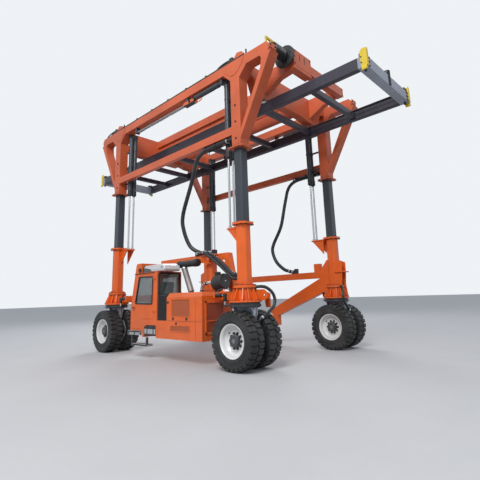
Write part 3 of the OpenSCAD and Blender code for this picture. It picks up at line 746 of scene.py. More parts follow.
def tyre_pair(leg):
    bench = Bench(leg_seat(leg) @ Matrix.Translation((0, 0, AXLE_Z)))
    profile = CARCASS + [(-y, r) for y, r in reversed(CARCASS[:-1])]
    for middle in (-WHEEL_Y, WHEEL_Y):
        bench.turned(profile, tyre_rubber, (0, middle, 0), ACROSS, 84, False)
        for k in range(PITCHES):
            tread_block(bench, middle, math.tau * k / PITCHES, 1)
            tread_block(bench, middle, math.tau * (k + 0.5) / PITCHES, -1)
    bench.make(f"tyre_pair_{leg}", f"wheels_{leg}", 30, f"tyres_{leg}")


for leg in LEGS:
    tyre_pair(leg)

# %% [markdown]
# The rims are white: a rolled lip, a barrel that goes in, and a disc set deep with
# ten large black nuts round a dark hub cap, and a valve beside them. Rim, disc and
# hub are all turned parts.

# %% Rims and hubs
LIP = [  # distance out from the tyre's middle and radius
    (0.030, 0.100), (0.030, 0.206), (0.014, 0.226), (0.014, 0.262), (0.048, 0.292), (0.066, 0.316),
    (0.120, 0.330), (0.152, 0.336), (0.168, 0.346), (0.176, 0.356), (0.184, 0.364), (0.1855, 0.369),
    (0.183, 0.374), (0.176, 0.3755), (0.166, 0.3712), (-0.166, 0.3712), (-0.184, 0.374),
    (-0.184, 0.364), (-0.168, 0.346), (-0.150, 0.338), (-0.060, 0.334), (-0.030, 0.300),
    (-0.020, 0.200), (-0.020, 0.100)]
HUB_CAP = [(0.030, 0.137), (0.044, 0.137), (0.046, 0.134), (0.108, 0.134), (0.118, 0.130),
           (0.124, 0.121), (0.124, 0.058), (0.119, 0.054), (0.119, 0.0005)]
STUD_CIRCLE, STUDS = 0.1675, 10


def rim_pair(leg):
    bench = Bench()
    for side in SIDES:
        bench.seat = (leg_seat(leg) @ Matrix.Translation((0, side * WHEEL_Y, AXLE_Z))
                      @ Matrix.Diagonal((1, side, 1, 1)))
        bench.turned(LIP, rim_white, along=ACROSS, sides=72)
        bench.turned(HUB_CAP, hub_grey, along=ACROSS, sides=48)
        bench.turned([(0.118, 0.052), (0.123, 0.050), (0.123, 0.0005)], hub_pale, along=ACROSS)
        for z, x in circle(STUDS, STUD_CIRCLE, 0.5):
            for profile, y, sides in (([(0, 0.033), (0.008, 0.033), (0.012, 0.027)], 0.029, 20),
                                      ([(0, 0.025), (0.028, 0.025), (0.033, 0.019)], 0.038, 6),
                                      ([(0, 0.014), (0.016, 0.013), (0.019, 0.009)], 0.066, 12)):
                bench.turned(profile, black_steel, (x, y, z), ACROSS, sides)
        valve = (0.262 * math.sin(-0.95), 0.010, 0.262 * math.cos(-0.95))
        bench.turned([(0, 0.016), (0.020, 0.0144), (0.045, 0.008)], black_plastic, valve, (0, 1, 0.2), 14)
        for z, x in circle(6, 0.095, 0.4 * 6 / math.tau):
            bench.bolt((x, 0.121, z), ACROSS, 0.014, black_steel, False)
    bench.make(f"rim_pair_{leg}", f"wheels_{leg}", 28, f"rims_{leg}")


for leg in LEGS:
    rim_pair(leg)

# %% [markdown]
# Between the twin tyres a cast fork carries both axle stubs, with the drive's hub
# casing at its foot. Its pale grey paint shows between the dark tyres. Over it lies
# the slewing ring, in two dark steps with its own ring of bolts.

# %% Steering forks
FORK_TOP = 1.374
WEB = mirrored([(0.33, FORK_TOP), (0.335, 1.22), (0.25, 0.98), (0.165, 0.72), (0.15, 0.60), (0.09, 0.505)])
RIM_OF_WEB = [(0.33, FORK_TOP), (0.335, 1.22), (0.25, 0.98), (0.165, 0.72), (0.125, 0.72), (0.205, 0.99),
              (0.29, 1.22), (0.28, FORK_TOP)]
SPREAD = mirrored([(0.13, 1.3735), (0.120, 1.345), (0.048, 1.235), (0.042, 1.05)])
HUB_CASE = [(0.085, 0.135), (0.10, 0.150), (0.22, 0.150), (0.235, 0.128), (0.30, 0.12), (0.36, 0.12),
            (0.372, 0.110)]


def fork(leg):
    bench = Bench(leg_seat(leg))
    axle = (0, 0, AXLE_Z)
    for ring in ([(1.424, 0.336), (1.430, 0.348), (1.472, 0.349), (1.4765, 0.345)],
                 [(1.374, 0.362), (1.378, 0.369), (1.420, 0.369), (1.426, 0.364)]):
        bench.turned(ring, charcoal, sides=64)
    for x, y in circle(24, 0.330, 0.5):
        bench.bolt((x, y, FORK_TOP), DOWN, 0.022)
    # the steering arm, with the pin that the steering ram drives
    arm = [(-0.20, -0.06), (-0.20, 0.20), (-0.52, 0.20), (-0.565, 0.15), (-0.545, 0.11)]
    bench.plate(arm, 1.390, 1.4295, charcoal, "XY", 0.004)
    bench.rod((-0.52, 0.15, 1.392), (-0.52, 0.15, 1.509), 0.025, zinc)
    # the fork: a tapered web with a thick rim, and ribs on each face
    bench.plate(WEB, -0.028, 0.028, arm_grey, "XZ", 0.006)
    for s in SIDES:
        bench.plate([(s * x, z) for x, z in RIM_OF_WEB], -0.055, 0.055, arm_grey, "XZ", 0.006)
        rib = [(s * 0.03, 1.373), (s * 0.05, 1.373), (s * 0.04, 0.80), (s * 0.02, 0.80)]
        bench.plate(rib, -0.05, 0.05, arm_grey, "XZ", 0.004)
    bench.bar((-0.32, -0.055, 1.335), (0.32, 0.055, FORK_TOP), arm_grey, 0.006)
    for s in SIDES:   # the fork's end plates spread into a Y under the ring
        bench.plate(SPREAD, s * 0.268, s * 0.292, arm_grey, "YZ", 0.004)
    bench.band(axle, ACROSS, 0.170, (0.150, 0.165), arm_grey, 40, 0.007)
    bench.turned([(-0.42, 0.055), (0.42, 0.055)], black_steel, axle, ACROSS)
    for s in SIDES:
        bench.turned(HUB_CASE, hub_grey, axle, (0, s, 0), 40)
        for z, x in circle(12, 0.138):
            bench.bolt((x, s * 0.083, AXLE_Z + z), (0, s, 0), 0.018, None, False)
    bench.make(f"fork_{leg}", f"yoke_{leg}", 30, f"yoke_{leg}")


for leg in LEGS:
    fork(leg)

# %% [markdown]
# Each leg is a bolted stack: dark bolts ring the flange on the base drum and hang
# under the collar, and a black steering ram with a chrome rod lies beside the base.
# A drive hose loops out of the base and down between the tyres to the hub. These
# are set on the leg's seat once, and the loop makes them for all four legs.

# %% Leg fittings
BASE_BOLTS = [  # radius and height of a bolt circle, the way its heads look, their width, washers
    (0.245, 1.860, UP, 0.030, True), (0.262, 1.800, DOWN, 0.026, False), (0.372, 1.517, UP, 0.022, True)]
SLIDE_SEAL = [(-0.142, -0.115), (-0.115, -0.142), (0.115, -0.142), (0.142, -0.115),
              (0.142, 0.115), (0.115, 0.142), (-0.115, 0.142), (-0.142, 0.115)]
RAM_EYE = [(1.5215, 0.040), (1.526, 0.0465), (1.60, 0.0465), (1.605, 0.040), (1.62, 0.040),
           (1.625, 0.0465), (1.683, 0.0465), (1.688, 0.040)]
RAM_HOSE = [(-0.79, 0.15, 1.72), (-0.77, 0.12, 1.78), (-0.60, 0.02, 1.80), (-0.44, 0.0, 1.76),
            (-0.30, 0.0, 1.70)]
DRIVE_ROUTE = [(0.20, -0.07, 1.79), (0.28, -0.15, 1.82), (0.39, -0.29, 1.80), (0.47, -0.42, 1.68),
               (0.50, -0.47, 1.52), (0.50, -0.42, 1.37), (0.475, -0.26, 1.245), (0.43, -0.06, 1.13),
               (0.36, 0.0, 1.02), (0.26, 0.0, 0.92), (0.17, 0.0, 0.86)]


def quarter_turn(side):
    return Matrix.Rotation(side * math.pi / 2, 4, "Z")


def leg_fittings(leg):
    bench = Bench(leg_seat(leg))
    for radius, z, way, across, washer in BASE_BOLTS:
        for x, y in circle(24, radius, 0.5):
            bench.bolt((x, y, z), way, across, None, washer)
    for side in range(4):
        for across in (-0.15, -0.09, -0.03, 0.03, 0.09, 0.15):
            head = quarter_turn(side) @ Vector((0.198, across, 0))
            if not (side == 2 and leg[0] == "n" and across < 0):
                bench.bolt((head.x, head.y, 3.300), DOWN, 0.026)
            bench.bolt((head.x, head.y, 3.350), UP, 0.022, None, False)
    # the seal where the mast slides
    bench.plate(SLIDE_SEAL, 3.3505, 3.372, black_steel, "XY", 0.004)
    # the steering ram, from its bracket to its eye
    bench.bar((-0.90, 0.085 if leg[0] == "f" else -0.06, 1.587), (-0.849, 0.19, 1.717), orange, 0.006)
    bench.rod((-0.846, 0.15, 1.65), (-0.632, 0.15, 1.65), 0.0415, black_steel, 0.006, 28)
    for x in (-0.80, -0.70, -0.64):
        bench.band((x, 0.15, 1.65), ALONG, 0.016, (0.043, 0.046), black_steel, 28, 0.002)
    bench.rod((-0.634, 0.15, 1.65), (-0.560, 0.15, 1.65), 0.0235, chrome)
    bench.turned(RAM_EYE, black_steel, (-0.52, 0.15, 0), sides=28)
    bench.rod((-0.79, 0.15, 1.695), (-0.79, 0.15, 1.73), 0.014, zinc)
    bench.tube(RAM_HOSE, 0.014, hose_rubber, 10)
    bench.make(f"leg_fittings_{leg}", chassis_of(leg))


def drive_hose(leg):
    """Loops from the flange out past the ring, then in between the tyres."""
    seat = leg_seat(leg)
    out = seat @ Vector((0.44, -0.4, 0))
    bends = (f"yoke_{leg}", (out.x, out.y, 1.60), (out.x, out.y, 1.25))
    route = [tuple(seat @ Vector(p)) for p in DRIVE_ROUTE]
    wrapped_hose(f"drive_hose_{leg}", route, 0.036, 6, 0.06, chassis_of(leg), bends)
    bench = Bench(seat)
    union = [(0, 0.038), (0.005, 0.044), (0.045, 0.044), (0.05, 0.038)]
    bench.turned(union, zinc, (0.44, -0.09, 1.15), (-0.1, 0.8, -0.6), 20)
    bench.make(f"hose_union_{leg}", f"yoke_{leg}")


for leg in LEGS:
    leg_fittings(leg)
    drive_hose(leg)

# %% [markdown]
# The upper legs end in a flange with bolts on it, and the lift barrels hang beside
# them in pairs: black glands under the flange, steel bands along the tube and
# brackets to the leg. Three dark bolts sit on each leg's outer face. The glands and
# bands are open rings, because the rods slide up through them.

# %% Upper leg fittings
BARREL_X, BARREL_YS = -0.5, (-0.23, -0.07)
FIN = [(0.140, 5.269), (0.222, 5.269), (0.157, 5.355), (0.140, 5.355)]
COVER = [(-0.40, 7.665), (-0.33, 7.44), (-0.14, 7.27), (0.02, 7.25), (0.15, 7.33), (0.31, 7.50),
         (0.36, 7.665)]
GLAND = [(5.162, 0.044), (5.160, 0.052), (5.164, 0.079), (5.318, 0.0805), (5.324, 0.0705)]
WIPER = [(5.164, 0.038), (5.132, 0.037), (5.130, 0.041), (5.134, 0.046), (5.164, 0.046)]


def upper_fittings(leg):
    bench = Bench(leg_seat(leg))
    for side in range(4):
        turn = quarter_turn(side)
        for across in (-0.14, -0.05, 0.05, 0.14):
            head = turn @ Vector((0.208, across, 0))
            bench.bolt((head.x, head.y, 5.270), UP, 0.028)
            bench.bolt((head.x, head.y, 5.235), DOWN, 0.024, None, False)
        for y in (-0.09, 0.09):   # fins that brace the flange
            bench.plate(FIN, y - 0.006, y + 0.006, sky_pink_orange, "XZ", 0.002, turn)
    bench.bolts((0.0,), (0.150,), (5.50, 5.95, 6.40), ACROSS, 0.034)
    # a cover plate laps over the joint of leg and beam
    bench.plate(COVER, 0.1502, 0.160, sky_pink_orange)
    for y in BARREL_YS:
        bench.turned(GLAND, black_steel, (BARREL_X, y, 0), sides=36, caps=False)
        bench.turned(WIPER, black_plastic, (BARREL_X, y, 0), sides=28, caps=False)
        for z in (5.62, 6.20, 6.80, 7.20):
            bench.band((BARREL_X, y, z + 0.025), UP, 0.05, (0.0705, 0.077), slate, caps=False)
    for z in (5.62, 6.20, 6.80):
        bench.bar((-0.44, -0.19, z + 0.005), (-0.145, -0.11, z + 0.045), slate)
    bench.make(f"upper_fittings_{leg}", "top_frame")


for leg in LEGS:
    upper_fittings(leg)
print("legs fitted")

# %% [markdown]
# Along the top of each long beam lie more hoses in clips, with an orange box
# and a black valve at each end. The ropes' rams hang under the beam: a dark barrel
# in a thicker sleeve, an orange fork, and bright rods that pull the ropes.

# %% Beam fittings
ON_BEAM = 7.6705        # the underside of what lies on a long beam
RAM_Z, PULL_Z = 7.30, 7.24
FORK_CHEEK = [(0.800, 7.19), (1.281, 7.19), (1.281, 7.245), (1.20, 7.29), (0.86, 7.29), (0.800, 7.25)]


def beam_fittings():
    bench = Bench()
    for s in SIDES:
        for y, tint in ((2.056, hose_rubber), (2.116, black_steel), (2.172, hose_rubber)):
            route = ((-3.40, 7.699), (-2, 7.700), (0, 7.700), (2, 7.700), (3.30, 7.699))
            bench.tube([(x, s * y, z) for x, z in route], 0.028, tint, 12, 2)
        for x in (-3.3, -2.7, -1.8, -0.9, 0, 0.9, 1.8, 2.7):
            bench.bar((x, s * 2.02, ON_BEAM), (x + 0.06, s * 2.204, 7.742), black_steel)
        for x in (-3.05, 3.05):
            box = [(x - 0.19, ON_BEAM), (x + 0.20, ON_BEAM), (x + 0.12, 7.88), (x - 0.04, 7.915),
                   (x - 0.12, 7.84)]
            bench.plate(box, s * 2.00, s * 2.14, sky_pink_orange, "XZ", 0.006)
            bench.bar((x - 0.32, s * 2.01, ON_BEAM), (x - 0.20, s * 2.15, 7.86), black_plastic)
            bench.rod((x + 0.24, s * 2.08, ON_BEAM), (x + 0.24, s * 2.08, 7.90), 0.022, black_steel)
            for k in (0, 1):
                lead = [(-0.86, 2.09 + 0.06 * k, 7.71), (-0.66, 2.09 + 0.05 * k, 7.76 + 0.03 * k),
                        (-0.42, 2.08, 7.86), (-0.28, 2.08, 7.80)]
                bench.tube([(x + u, s * y, z) for u, y, z in lead], 0.022, hose_rubber, 8)
    bench.make("beam_fittings", "top_frame", 40)


def ram_fittings():
    bench = Bench()
    for s in SIDES:
        y = s * 2.11
        bench.band((1.308, y, RAM_Z), ALONG, 0.054, (0.0555, 0.064), black_steel, 32)
        bench.band((1.7925, y, RAM_Z), ALONG, 0.985, (0.056, 0.073), slate, 36, 0.005)
        for rod_y in (y - 0.04, y, y + 0.04):   # the rods that pull the ropes, and their nuts
            bench.rod((-1.799, rod_y, PULL_Z), (0.795, rod_y, PULL_Z), 0.0155, chrome)
            nut = [(0, 0.018), (0.003, 0.021), (0.05, 0.021)]
            bench.turned(nut, zinc, (0.744, rod_y, PULL_Z), ALONG, 6)
        for side in SIDES:
            bench.plate(FORK_CHEEK, y + side * 0.0705, y + side * 0.084, sky_pink_orange)
            bench.bolt((1.10, y + side * 0.084, PULL_Z), (0, side, 0), 0.05)
        # the loop beside the fork
        loop = [(1.42 + 0.14 * u, y, 7.182 + 0.036 * v) for u, v in circle(20, 1)]
        bench.tube(loop, 0.013, orange, 8, 1, closed=True)
    bench.make("ram_fittings", "top_frame")


def brace_lamps():
    """A work lamp on the inner side of each near brace, on a short arm."""
    bench = Bench()
    for sx in SIDES:
        bench.seat = Matrix.Diagonal((sx, 1, 1, 1))
        bench.rod((3.50, -1.90, 6.55), (3.50, -1.78, 6.50), 0.016, black_steel)
        for profile, finish in (([(0, 0.035), (0.02, 0.060), (0.09, 0.078), (0.105, 0.078)], slate),
                                ([(0.102, 0.070), (0.108, 0.066)], clear_lens)):
            bench.turned(profile, finish, (3.50, -1.74, 6.54), (0, 0.2, -1), 28)
    bench.make("brace_lamps", "top_frame")


beam_fittings()
ram_fittings()
brace_lamps()

# %% [markdown]
# At the engine end hangs the hose reel: a drum with hose laid on it in even turns,
# and a cheek with round holes and two bright bolts. The raised plates of the end
# beams carry bolts and a stiffening lip, and a yellow rail guards the corner.

# %% Reel, end beams and rails
REEL_X, REEL_Z = 4.0, 7.65
REEL_CHEEK = [(0, 0.10), (0, 0.292), (0.003, 0.300), (0.037, 0.300), (0.040, 0.294), (0.040, 0.276),
              (0.030, 0.270), (0.030, 0.10)]
REEL_CAP = [(0, 0.10), (0.004, 0.105), (0.016, 0.105), (0.022, 0.090)]
END_FACE = 4.200
RAIL_HOOK = [(-1.50, 7.816), (-1.46, 7.816), (-1.43, 7.76), (-1.452, 7.752), (-1.48, 7.79),
             (-1.508, 7.752), (-1.53, 7.76)]


def round_reel(count, radius, y, turn=0.0):
    """Places round the reel's axis."""
    return [(x, y, z) for x, z in circle(count, radius, turn, (REEL_X, REEL_Z))]


def reel():
    """The drum with its hose, and one large cheek with a raised rim and a ring of holes."""
    bench = Bench()
    bench.turned([(0, 0.140), (0.50, 0.140)], black_steel, (REEL_X, -1.899, REEL_Z), ACROSS, 40)
    bench.turned(REEL_CHEEK, black_steel, (REEL_X, -1.401, REEL_Z), ACROSS, 72)
    for y, way in ((-1.3705, 1), (-1.4015, -1)):
        for place in round_reel(8, 0.205, y, 0.5):
            bench.turned([(0, 0.040), (0.0012, 0.038)], seal_rubber, place, (0, way, 0), 24)
    bench.bar((4.03, -1.362, 7.47), (4.09, -1.256, 7.69), black_steel)
    for k in range(9):
        bench.tube(round_reel(20, 0.148, -1.885 + 0.045 * k), 0.0165, hose_rubber, 8, 2, closed=True)
    bench.turned(REEL_CAP, black_steel, (REEL_X, -1.361, REEL_Z), ACROSS, 36)
    for a in (0.6, 3.7):
        place = (REEL_X + 0.06 * math.cos(a), -1.340, REEL_Z + 0.06 * math.sin(a))
        bench.bolt(place, ACROSS, 0.036, zinc)
    hose_end = [(4.0, -1.87, 7.82), (3.86, -1.85, 7.83), (3.70, -1.92, 7.76), (3.55, -1.98, 7.70)]
    bench.tube(hose_end, 0.0195, hose_rubber, 10)
    bench.make("reel", "top_frame", 40, "hose_reel")


def end_fittings():
    bench = Bench()
    for turn in (0, math.pi):
        bench.seat = Matrix.Rotation(turn, 4, "Z")
        bench.bolts((END_FACE,), (-1.21, 1.21), (7.46, 7.66), ALONG, 0.024)
        bench.bolts((END_FACE,), (-1.20, -0.52), (7.82,), ALONG, 0.024)
        bench.bar((4.1995, -1.256, 7.405), (4.206, 1.256, 7.43), sky_pink_orange)
        bench.bar((4.1995, -0.50, 7.405), (4.206, -0.47, 7.86), sky_pink_orange)
        bench.bar((3.98, -1.256, 7.8605), (END_FACE, -0.47, 7.872), sky_pink_orange)
        for y in (-1.01, -0.79):   # two narrow slots
            bench.plate(rect(y, 7.60, y + 0.035, 7.80), 4.199, 4.2015, seal_rubber, "YZ", 0.0005)
    bench.seat = Matrix.Identity(4)
    for s, sx in product(SIDES, SIDES):
        bench.plate(rect(4.1305 * sx, 7.50, 4.145 * sx, 7.64), s * 1.92, s * 2.18, sky_pink_orange)
        bench.bolts((4.145 * sx,), (s * 1.96, s * 2.14), (7.57,), (sx, 0, 0), 0.030)
    bench.make("end_fittings", "top_frame")


def rails():
    bench = Bench()
    for y in (-2.14, -1.96):
        bench.bar((3.989, y - 0.021, ON_BEAM), (4.031, y + 0.021, 7.817), yellow)
        bench.bar((3.965, y - 0.045, ON_BEAM), (4.055, y + 0.045, 7.682), yellow)
    bench.bar((3.989, -2.161, 7.800), (4.031, -1.4195, 7.870), yellow, 0.006)
    bench.plate(RAIL_HOOK, 3.995, 4.025, yellow, "YZ")
    bench.make("corner_rails", "top_frame", 30, "guard_rails")


reel()
end_fittings()
rails()
print("top frame fitted")

# %% [markdown]
# The cab's panes sit in black rubber gaskets. Each is a closed tube that follows the
# window's outline and turns smoothly at its corners. The door has its own gasket,
# handle and lock, which swing with it.

# %% Gaskets and door
SEAT_Y = -2.08
HINGE_ZS = (1.25, 2.15)
GASKET_CORNER = 0.05
WINDSCREEN_LEAN = math.atan(0.213)
VENT_PLACE = (-0.825, -2.5, 2.445)
VENT = [(0, 0.062), (0.006, 0.066), (0.026, 0.066), (0.030, 0.060), (0.030, 0.052), (0.020, 0.050)]


def gasket(bench, outline, plane, depth, radius):
    """A closed rubber tube along a window's outline, rounded at its corners."""
    one, two = ("XYZ".index(a) for a in plane)
    path = []
    for before, here, after in corners_of([Vector(p) for p in outline]):
        into = here - (here - before).normalized() * GASKET_CORNER
        away = here + (after - here).normalized() * GASKET_CORNER
        for t in (0, 0.25, 0.5, 0.75, 1):
            p = [depth] * 3
            p[one], p[two] = into * (1 - t) ** 2 + here * 2 * t * (1 - t) + away * t * t
            path.append(p)
    bench.tube(path, radius, seal_rubber, 10, 1, closed=True)


def door_fittings():
    bench = Bench()
    gasket(bench, [(-1.05, 1.50), (-0.19, 1.48), (-0.16, 2.23), (-0.86, 2.25)], "XZ", -2.503, 0.020)
    bench.rod((-1.175, -2.535, 1.395), (-1.065, -2.535, 1.395), 0.013, black_plastic)
    bench.bar((-1.15, -2.512, 1.30), (-1.10, -2.5005, 1.36), black_plastic)
    bench.turned([(0, 0.012), (0.006, 0.012)], zinc, (-1.125, -2.512, 1.33), OUTWARD, 16)
    hinge_bolts = [z + 0.03 for z in HINGE_ZS]
    bench.bolts((-0.145, -0.115), (-2.518,), hinge_bolts, OUTWARD, 0.014, black_steel, False)
    bench.make("door_fittings", "cab_door", 40)


def cab_trim():
    bench = Bench()
    gasket(bench, rect(-2.45, 1.70, -1.71, 2.325), "YZ", 0.043, 0.022)
    gasket(bench, [(-1.0, 1.50), (-0.14, 1.50), (-0.14, 2.25), (-0.88, 2.25)], "XZ", -1.657, 0.018)
    bench.seat = Matrix.Translation((-1.29, 0, 1.43)) @ Matrix.Rotation(WINDSCREEN_LEAN, 4, "Y")
    gasket(bench, rect(-2.42, 0.055, -1.74, 0.885), "YZ", -0.002, 0.018)
    bench.seat = Matrix.Identity(4)
    # the rain strip over the door, and the hinges' fixed leaves
    bench.bar((-1.12, -2.5245, 2.345), (-0.08, -2.5005, 2.36), black_plastic)
    for z in HINGE_ZS:
        bench.bar((-0.078, -2.52, z), (-0.02, -2.5005, z + 0.06), orange)
    # the round black vent in the brow
    bench.turned(VENT, black_plastic, VENT_PLACE, OUTWARD, 36)
    bench.turned([(0.004, 0.050), (0.006, 0.030), (0.008, 0.0005)], seal_rubber, VENT_PLACE, OUTWARD, 28)
    bench.make("cab_trim", "chassis_near", 40)


door_fittings()
cab_trim()

# %% [markdown]
# The seat's cushion and back are padded, so they are crowned closed forms: a cube's
# faces are cut fine, pushed out to a soft box, and drawn in along two sewn channels.
# A console with a small screen, two knobs and a wheel stands before it.

# %% Seat and console
CHANNELS = (-0.33, 0.33)        # where the sewn channels lie, as a share of the half width
CHANNEL_WIDTH = 0.05
PEDESTAL = [(-0.50, 1.081), (-0.18, 1.081), (-0.22, 1.20), (-0.20, 1.335), (-0.48, 1.335), (-0.46, 1.20)]
BACK_PLATE = [(-0.185, 1.38), (-0.165, 1.38), (-0.035, 2.05), (-0.045, 2.08)]
CONSOLE = [(-1.12, 0.7905), (-0.96, 0.7905), (-0.96, 1.22), (-1.03, 1.38), (-1.12, 1.38)]


def soft_box(co, half):
    """Where a point of the cube from -1 to 1 lies on a cushion of that half size."""
    u, v, w = co
    crown = (1 - u ** 4) * (1 - v ** 4)
    round_off = 1 - 0.10 * (abs(u) ** 6 * abs(v) ** 6) - 0.05 * abs(w) ** 4 * (abs(u) ** 8 + abs(v) ** 8)
    seam = sum(math.exp(-((v - c) / CHANNEL_WIDTH) ** 2) for c in CHANNELS)
    thick = 0.72 + 0.28 * crown - (0.22 * seam if w > 0 else 0)
    return Vector((u * half[0] * round_off, v * half[1] * round_off, w * half[2] * thick))


def pad(name, centre, half, lean=0.0):
    """A cushion of a rounded box form with sewn channels across it."""
    shape = bmesh.new()
    bmesh.ops.create_cube(shape, size=2.0)
    bmesh.ops.subdivide_edges(shape, edges=shape.edges[:], cuts=18, use_grid_fill=True)
    turn = Matrix.Translation(centre) @ Matrix.Rotation(lean, 4, "Y")
    for vert in shape.verts:
        vert.co = turn @ soft_box(vert.co, half)
    mesh = bpy.data.meshes.new(name)
    shape.to_mesh(mesh)
    shape.free()
    mesh.materials.append(seat_fabric)
    mesh.polygons.foreach_set("use_smooth", [True] * len(mesh.polygons))
    cushion = bpy.data.objects.new(name, mesh)
    scene.collection.objects.link(cushion)
    soften = cushion.modifiers.new("soften", "SUBSURF")
    soften.levels = soften.render_levels = 1
    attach(cushion, "chassis_near")
    return cushion


def across_seat(bench, outline, half, edge):
    bench.plate(outline, SEAT_Y - half, SEAT_Y + half, black_plastic, "XZ", edge)


def seat_frame():
    bench = Bench()
    across_seat(bench, PEDESTAL, 0.17, 0.012)
    for z in (1.14, 1.18, 1.22, 1.26):   # the folds of the pedestal's cover
        bench.bar((-0.47, SEAT_Y - 0.18, z), (-0.21, SEAT_Y + 0.18, z + 0.018), hose_rubber, 0.006)
    across_seat(bench, BACK_PLATE, 0.20, 0.006)
    for s in SIDES:   # armrests
        bench.bar((-0.50, SEAT_Y + s * 0.215, 1.465), (-0.20, SEAT_Y + s * 0.24, 1.50), black_plastic, 0.010)
    # the console with a sloped panel, its screen, wheel and knobs
    across_seat(bench, CONSOLE, 0.20, 0.012)
    bench.bar((-1.06, SEAT_Y - 0.10, 1.375), (-1.035, SEAT_Y + 0.10, 1.378), clear_lens)
    wheel = [(-0.97 + 0.072 * u, SEAT_Y + 0.15 * v, 1.365 - 0.05 * u) for u, v in circle(24, 1)]
    bench.tube(wheel, 0.011, black_plastic, 10, 1, closed=True)
    for y in (-0.13, 0.13):
        spoke = [(-1.0, SEAT_Y + y * 0.1, 1.345), (-0.975, SEAT_Y + y * 0.5, 1.36),
                 (-0.968, SEAT_Y + y, 1.362)]
        bench.tube(spoke, 0.008, black_plastic, 8, 3)
    for y in (SEAT_Y - 0.17, SEAT_Y + 0.17):
        bench.rod((-1.10, y, 1.37), (-1.10, y, 1.379), 0.012, black_steel)
    bench.make("seat_frame", "chassis_near", 36, "cab_seat")


cushion = pad("seat_cushion", (-0.37, SEAT_Y, 1.40), (0.24, 0.235, 0.058))
pad("seat_back", (-0.115, SEAT_Y, 1.77), (0.30, 0.225, 0.045), lean=-1.34)
seat_frame()
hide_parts("cab_seat")
print("seat made")

# %% [markdown]
# A white roof unit cools the cab. Its moulded shell has rounded edges, a parting line and a small black cap
# in its side. A black wedge at its front end and a grey panel low on its near side are painted shade.

# %% Roof unit
SHELL = [(-0.665, 2.371), (0.340, 2.371), (0.378, 2.42), (0.350, 2.52), (0.250, 2.564), (-0.600, 2.564),
         (-0.665, 2.50)]
# a black wedge at the shell's front end, painted shade
FRONT_SHADE_WEDGE = [(-0.738, 2.371), (-0.664, 2.371), (-0.664, 2.50), (-0.60, 2.56), (-0.66, 2.56),
               (-0.738, 2.50)]
# a grey panel low on the near side, painted shade
SIDE_SHADE_PANEL = [(-0.655, 2.385), (-0.25, 2.385), (-0.33, 2.455), (-0.60, 2.50), (-0.655, 2.49)]


def roof_cooler():
    bench = Bench()
    bench.plate(SHELL, -2.489, -1.946, roof_shell, "XZ", 0.022)
    # painted shade: a black wedge at the front end
    bench.plate(FRONT_SHADE_WEDGE, -2.47, -1.96, black_plastic, "XZ", 0.010)
    bench.bar((-0.66, -2.4898, 2.418), (0.366, -1.9455, 2.424), black_plastic, 0.001)
    # painted shade: a thin grey panel low on the near side
    bench.plate(SIDE_SHADE_PANEL, -2.4905, -2.487, shell_shade_grey, "XZ", 0.001)
    bench.turned([(0, 0.024), (0.006, 0.022)], black_plastic, (0.24, -2.4888, 2.475), OUTWARD, 24)
    bench.bolts((-0.50, -0.05, 0.28), (-2.30,), (2.5635,), UP, 0.014, zinc, False)
    bench.make("roof_cooler", "chassis_near", 34, "roof_unit")


roof_cooler()

# %% [markdown]
# The engine's hood breathes through a sheet with small round holes, sunk in a
# frame, and through a second one low down. A third fills the machine's end. Round
# black catches hold the doors, and thin dark joints part them.

# %% Hood and doors
SIDE_FACE = -2.5     # the outer face of the hood and of the frame under it
BEHIND = -2.4995     # just inside that face, where the thin parts on it begin
SCREW = [(0, 0.010), (0.004, 0.008)]


def grille(bench, x0, x1, z0, z1, y):
    """A pierced sheet in a narrow orange frame."""
    bench.bar((x0, y - 0.003, z0), (x1, y + 0.0008, z1), side_mesh, 0.0005)
    for a, b, c, d in ((x0 - 0.012, z0 - 0.012, x1 + 0.012, z0 + 0.008),
                       (x0 - 0.012, z1 - 0.008, x1 + 0.012, z1 + 0.012),
                       (x0 - 0.012, z0, x0 + 0.010, z1), (x1 - 0.010, z0, x1 + 0.012, z1)):
        bench.bar((a, y - 0.012, b), (c, y + 0.001, d), orange, 0.003)


def catch(bench, x, z, radius):
    """A round black catch with a dished middle."""
    profile = [(0, radius), (0.006, radius + 0.002), (0.016, radius - 0.001), (0.018, 0.012), (0.012, 0.0005)]
    bench.turned(profile, black_plastic, (x, SIDE_FACE, z), OUTWARD, 28)


def joint(bench, x0, z0, x1, z1, deep=-2.5012):
    """A thin dark line between two doors."""
    bench.bar((x0, deep, z0), (x1, BEHIND, z1), seal_rubber, 0.0004)


def hood_fittings():
    bench = Bench()
    grille(bench, 0.712, 1.458, 1.152, 1.568, -2.481)
    for x, z in ((0.786, 1.10), (1.343, 1.10), (0.557, 1.512)):
        catch(bench, x, z, 0.034)
    joint(bench, 1.685, 1.06, 1.691, 1.60)
    joint(bench, 0.55, 1.036, 1.925, 1.043, -2.5014)
    for place in product((0.56, 1.91), (BEHIND,), (1.15, 1.50)):
        bench.turned(SCREW, zinc, place, OUTWARD, 12)
    bench.bolts((0.75, 1.60), (-2.2, -1.80), (1.7495,), UP, 0.020)
    bench.make("hood_fittings", "chassis_near")


def tank_side(bench):
    """The tank's pale side in its black arch, with two bands."""
    bench.plate(rect(-0.555, 0.675, -0.02, 0.805), -2.4985, -2.489, zinc, "XZ", 0.004)
    for x in (-0.42, -0.12):
        bench.bar((x - 0.018, -2.502, 0.650), (x + 0.018, -2.4985, 0.888), black_steel, 0.001)
    bench.plate(rect(-0.56, 0.635, -0.02, 0.668), -2.4985, -2.489, black_steel, "XZ", 0.004)


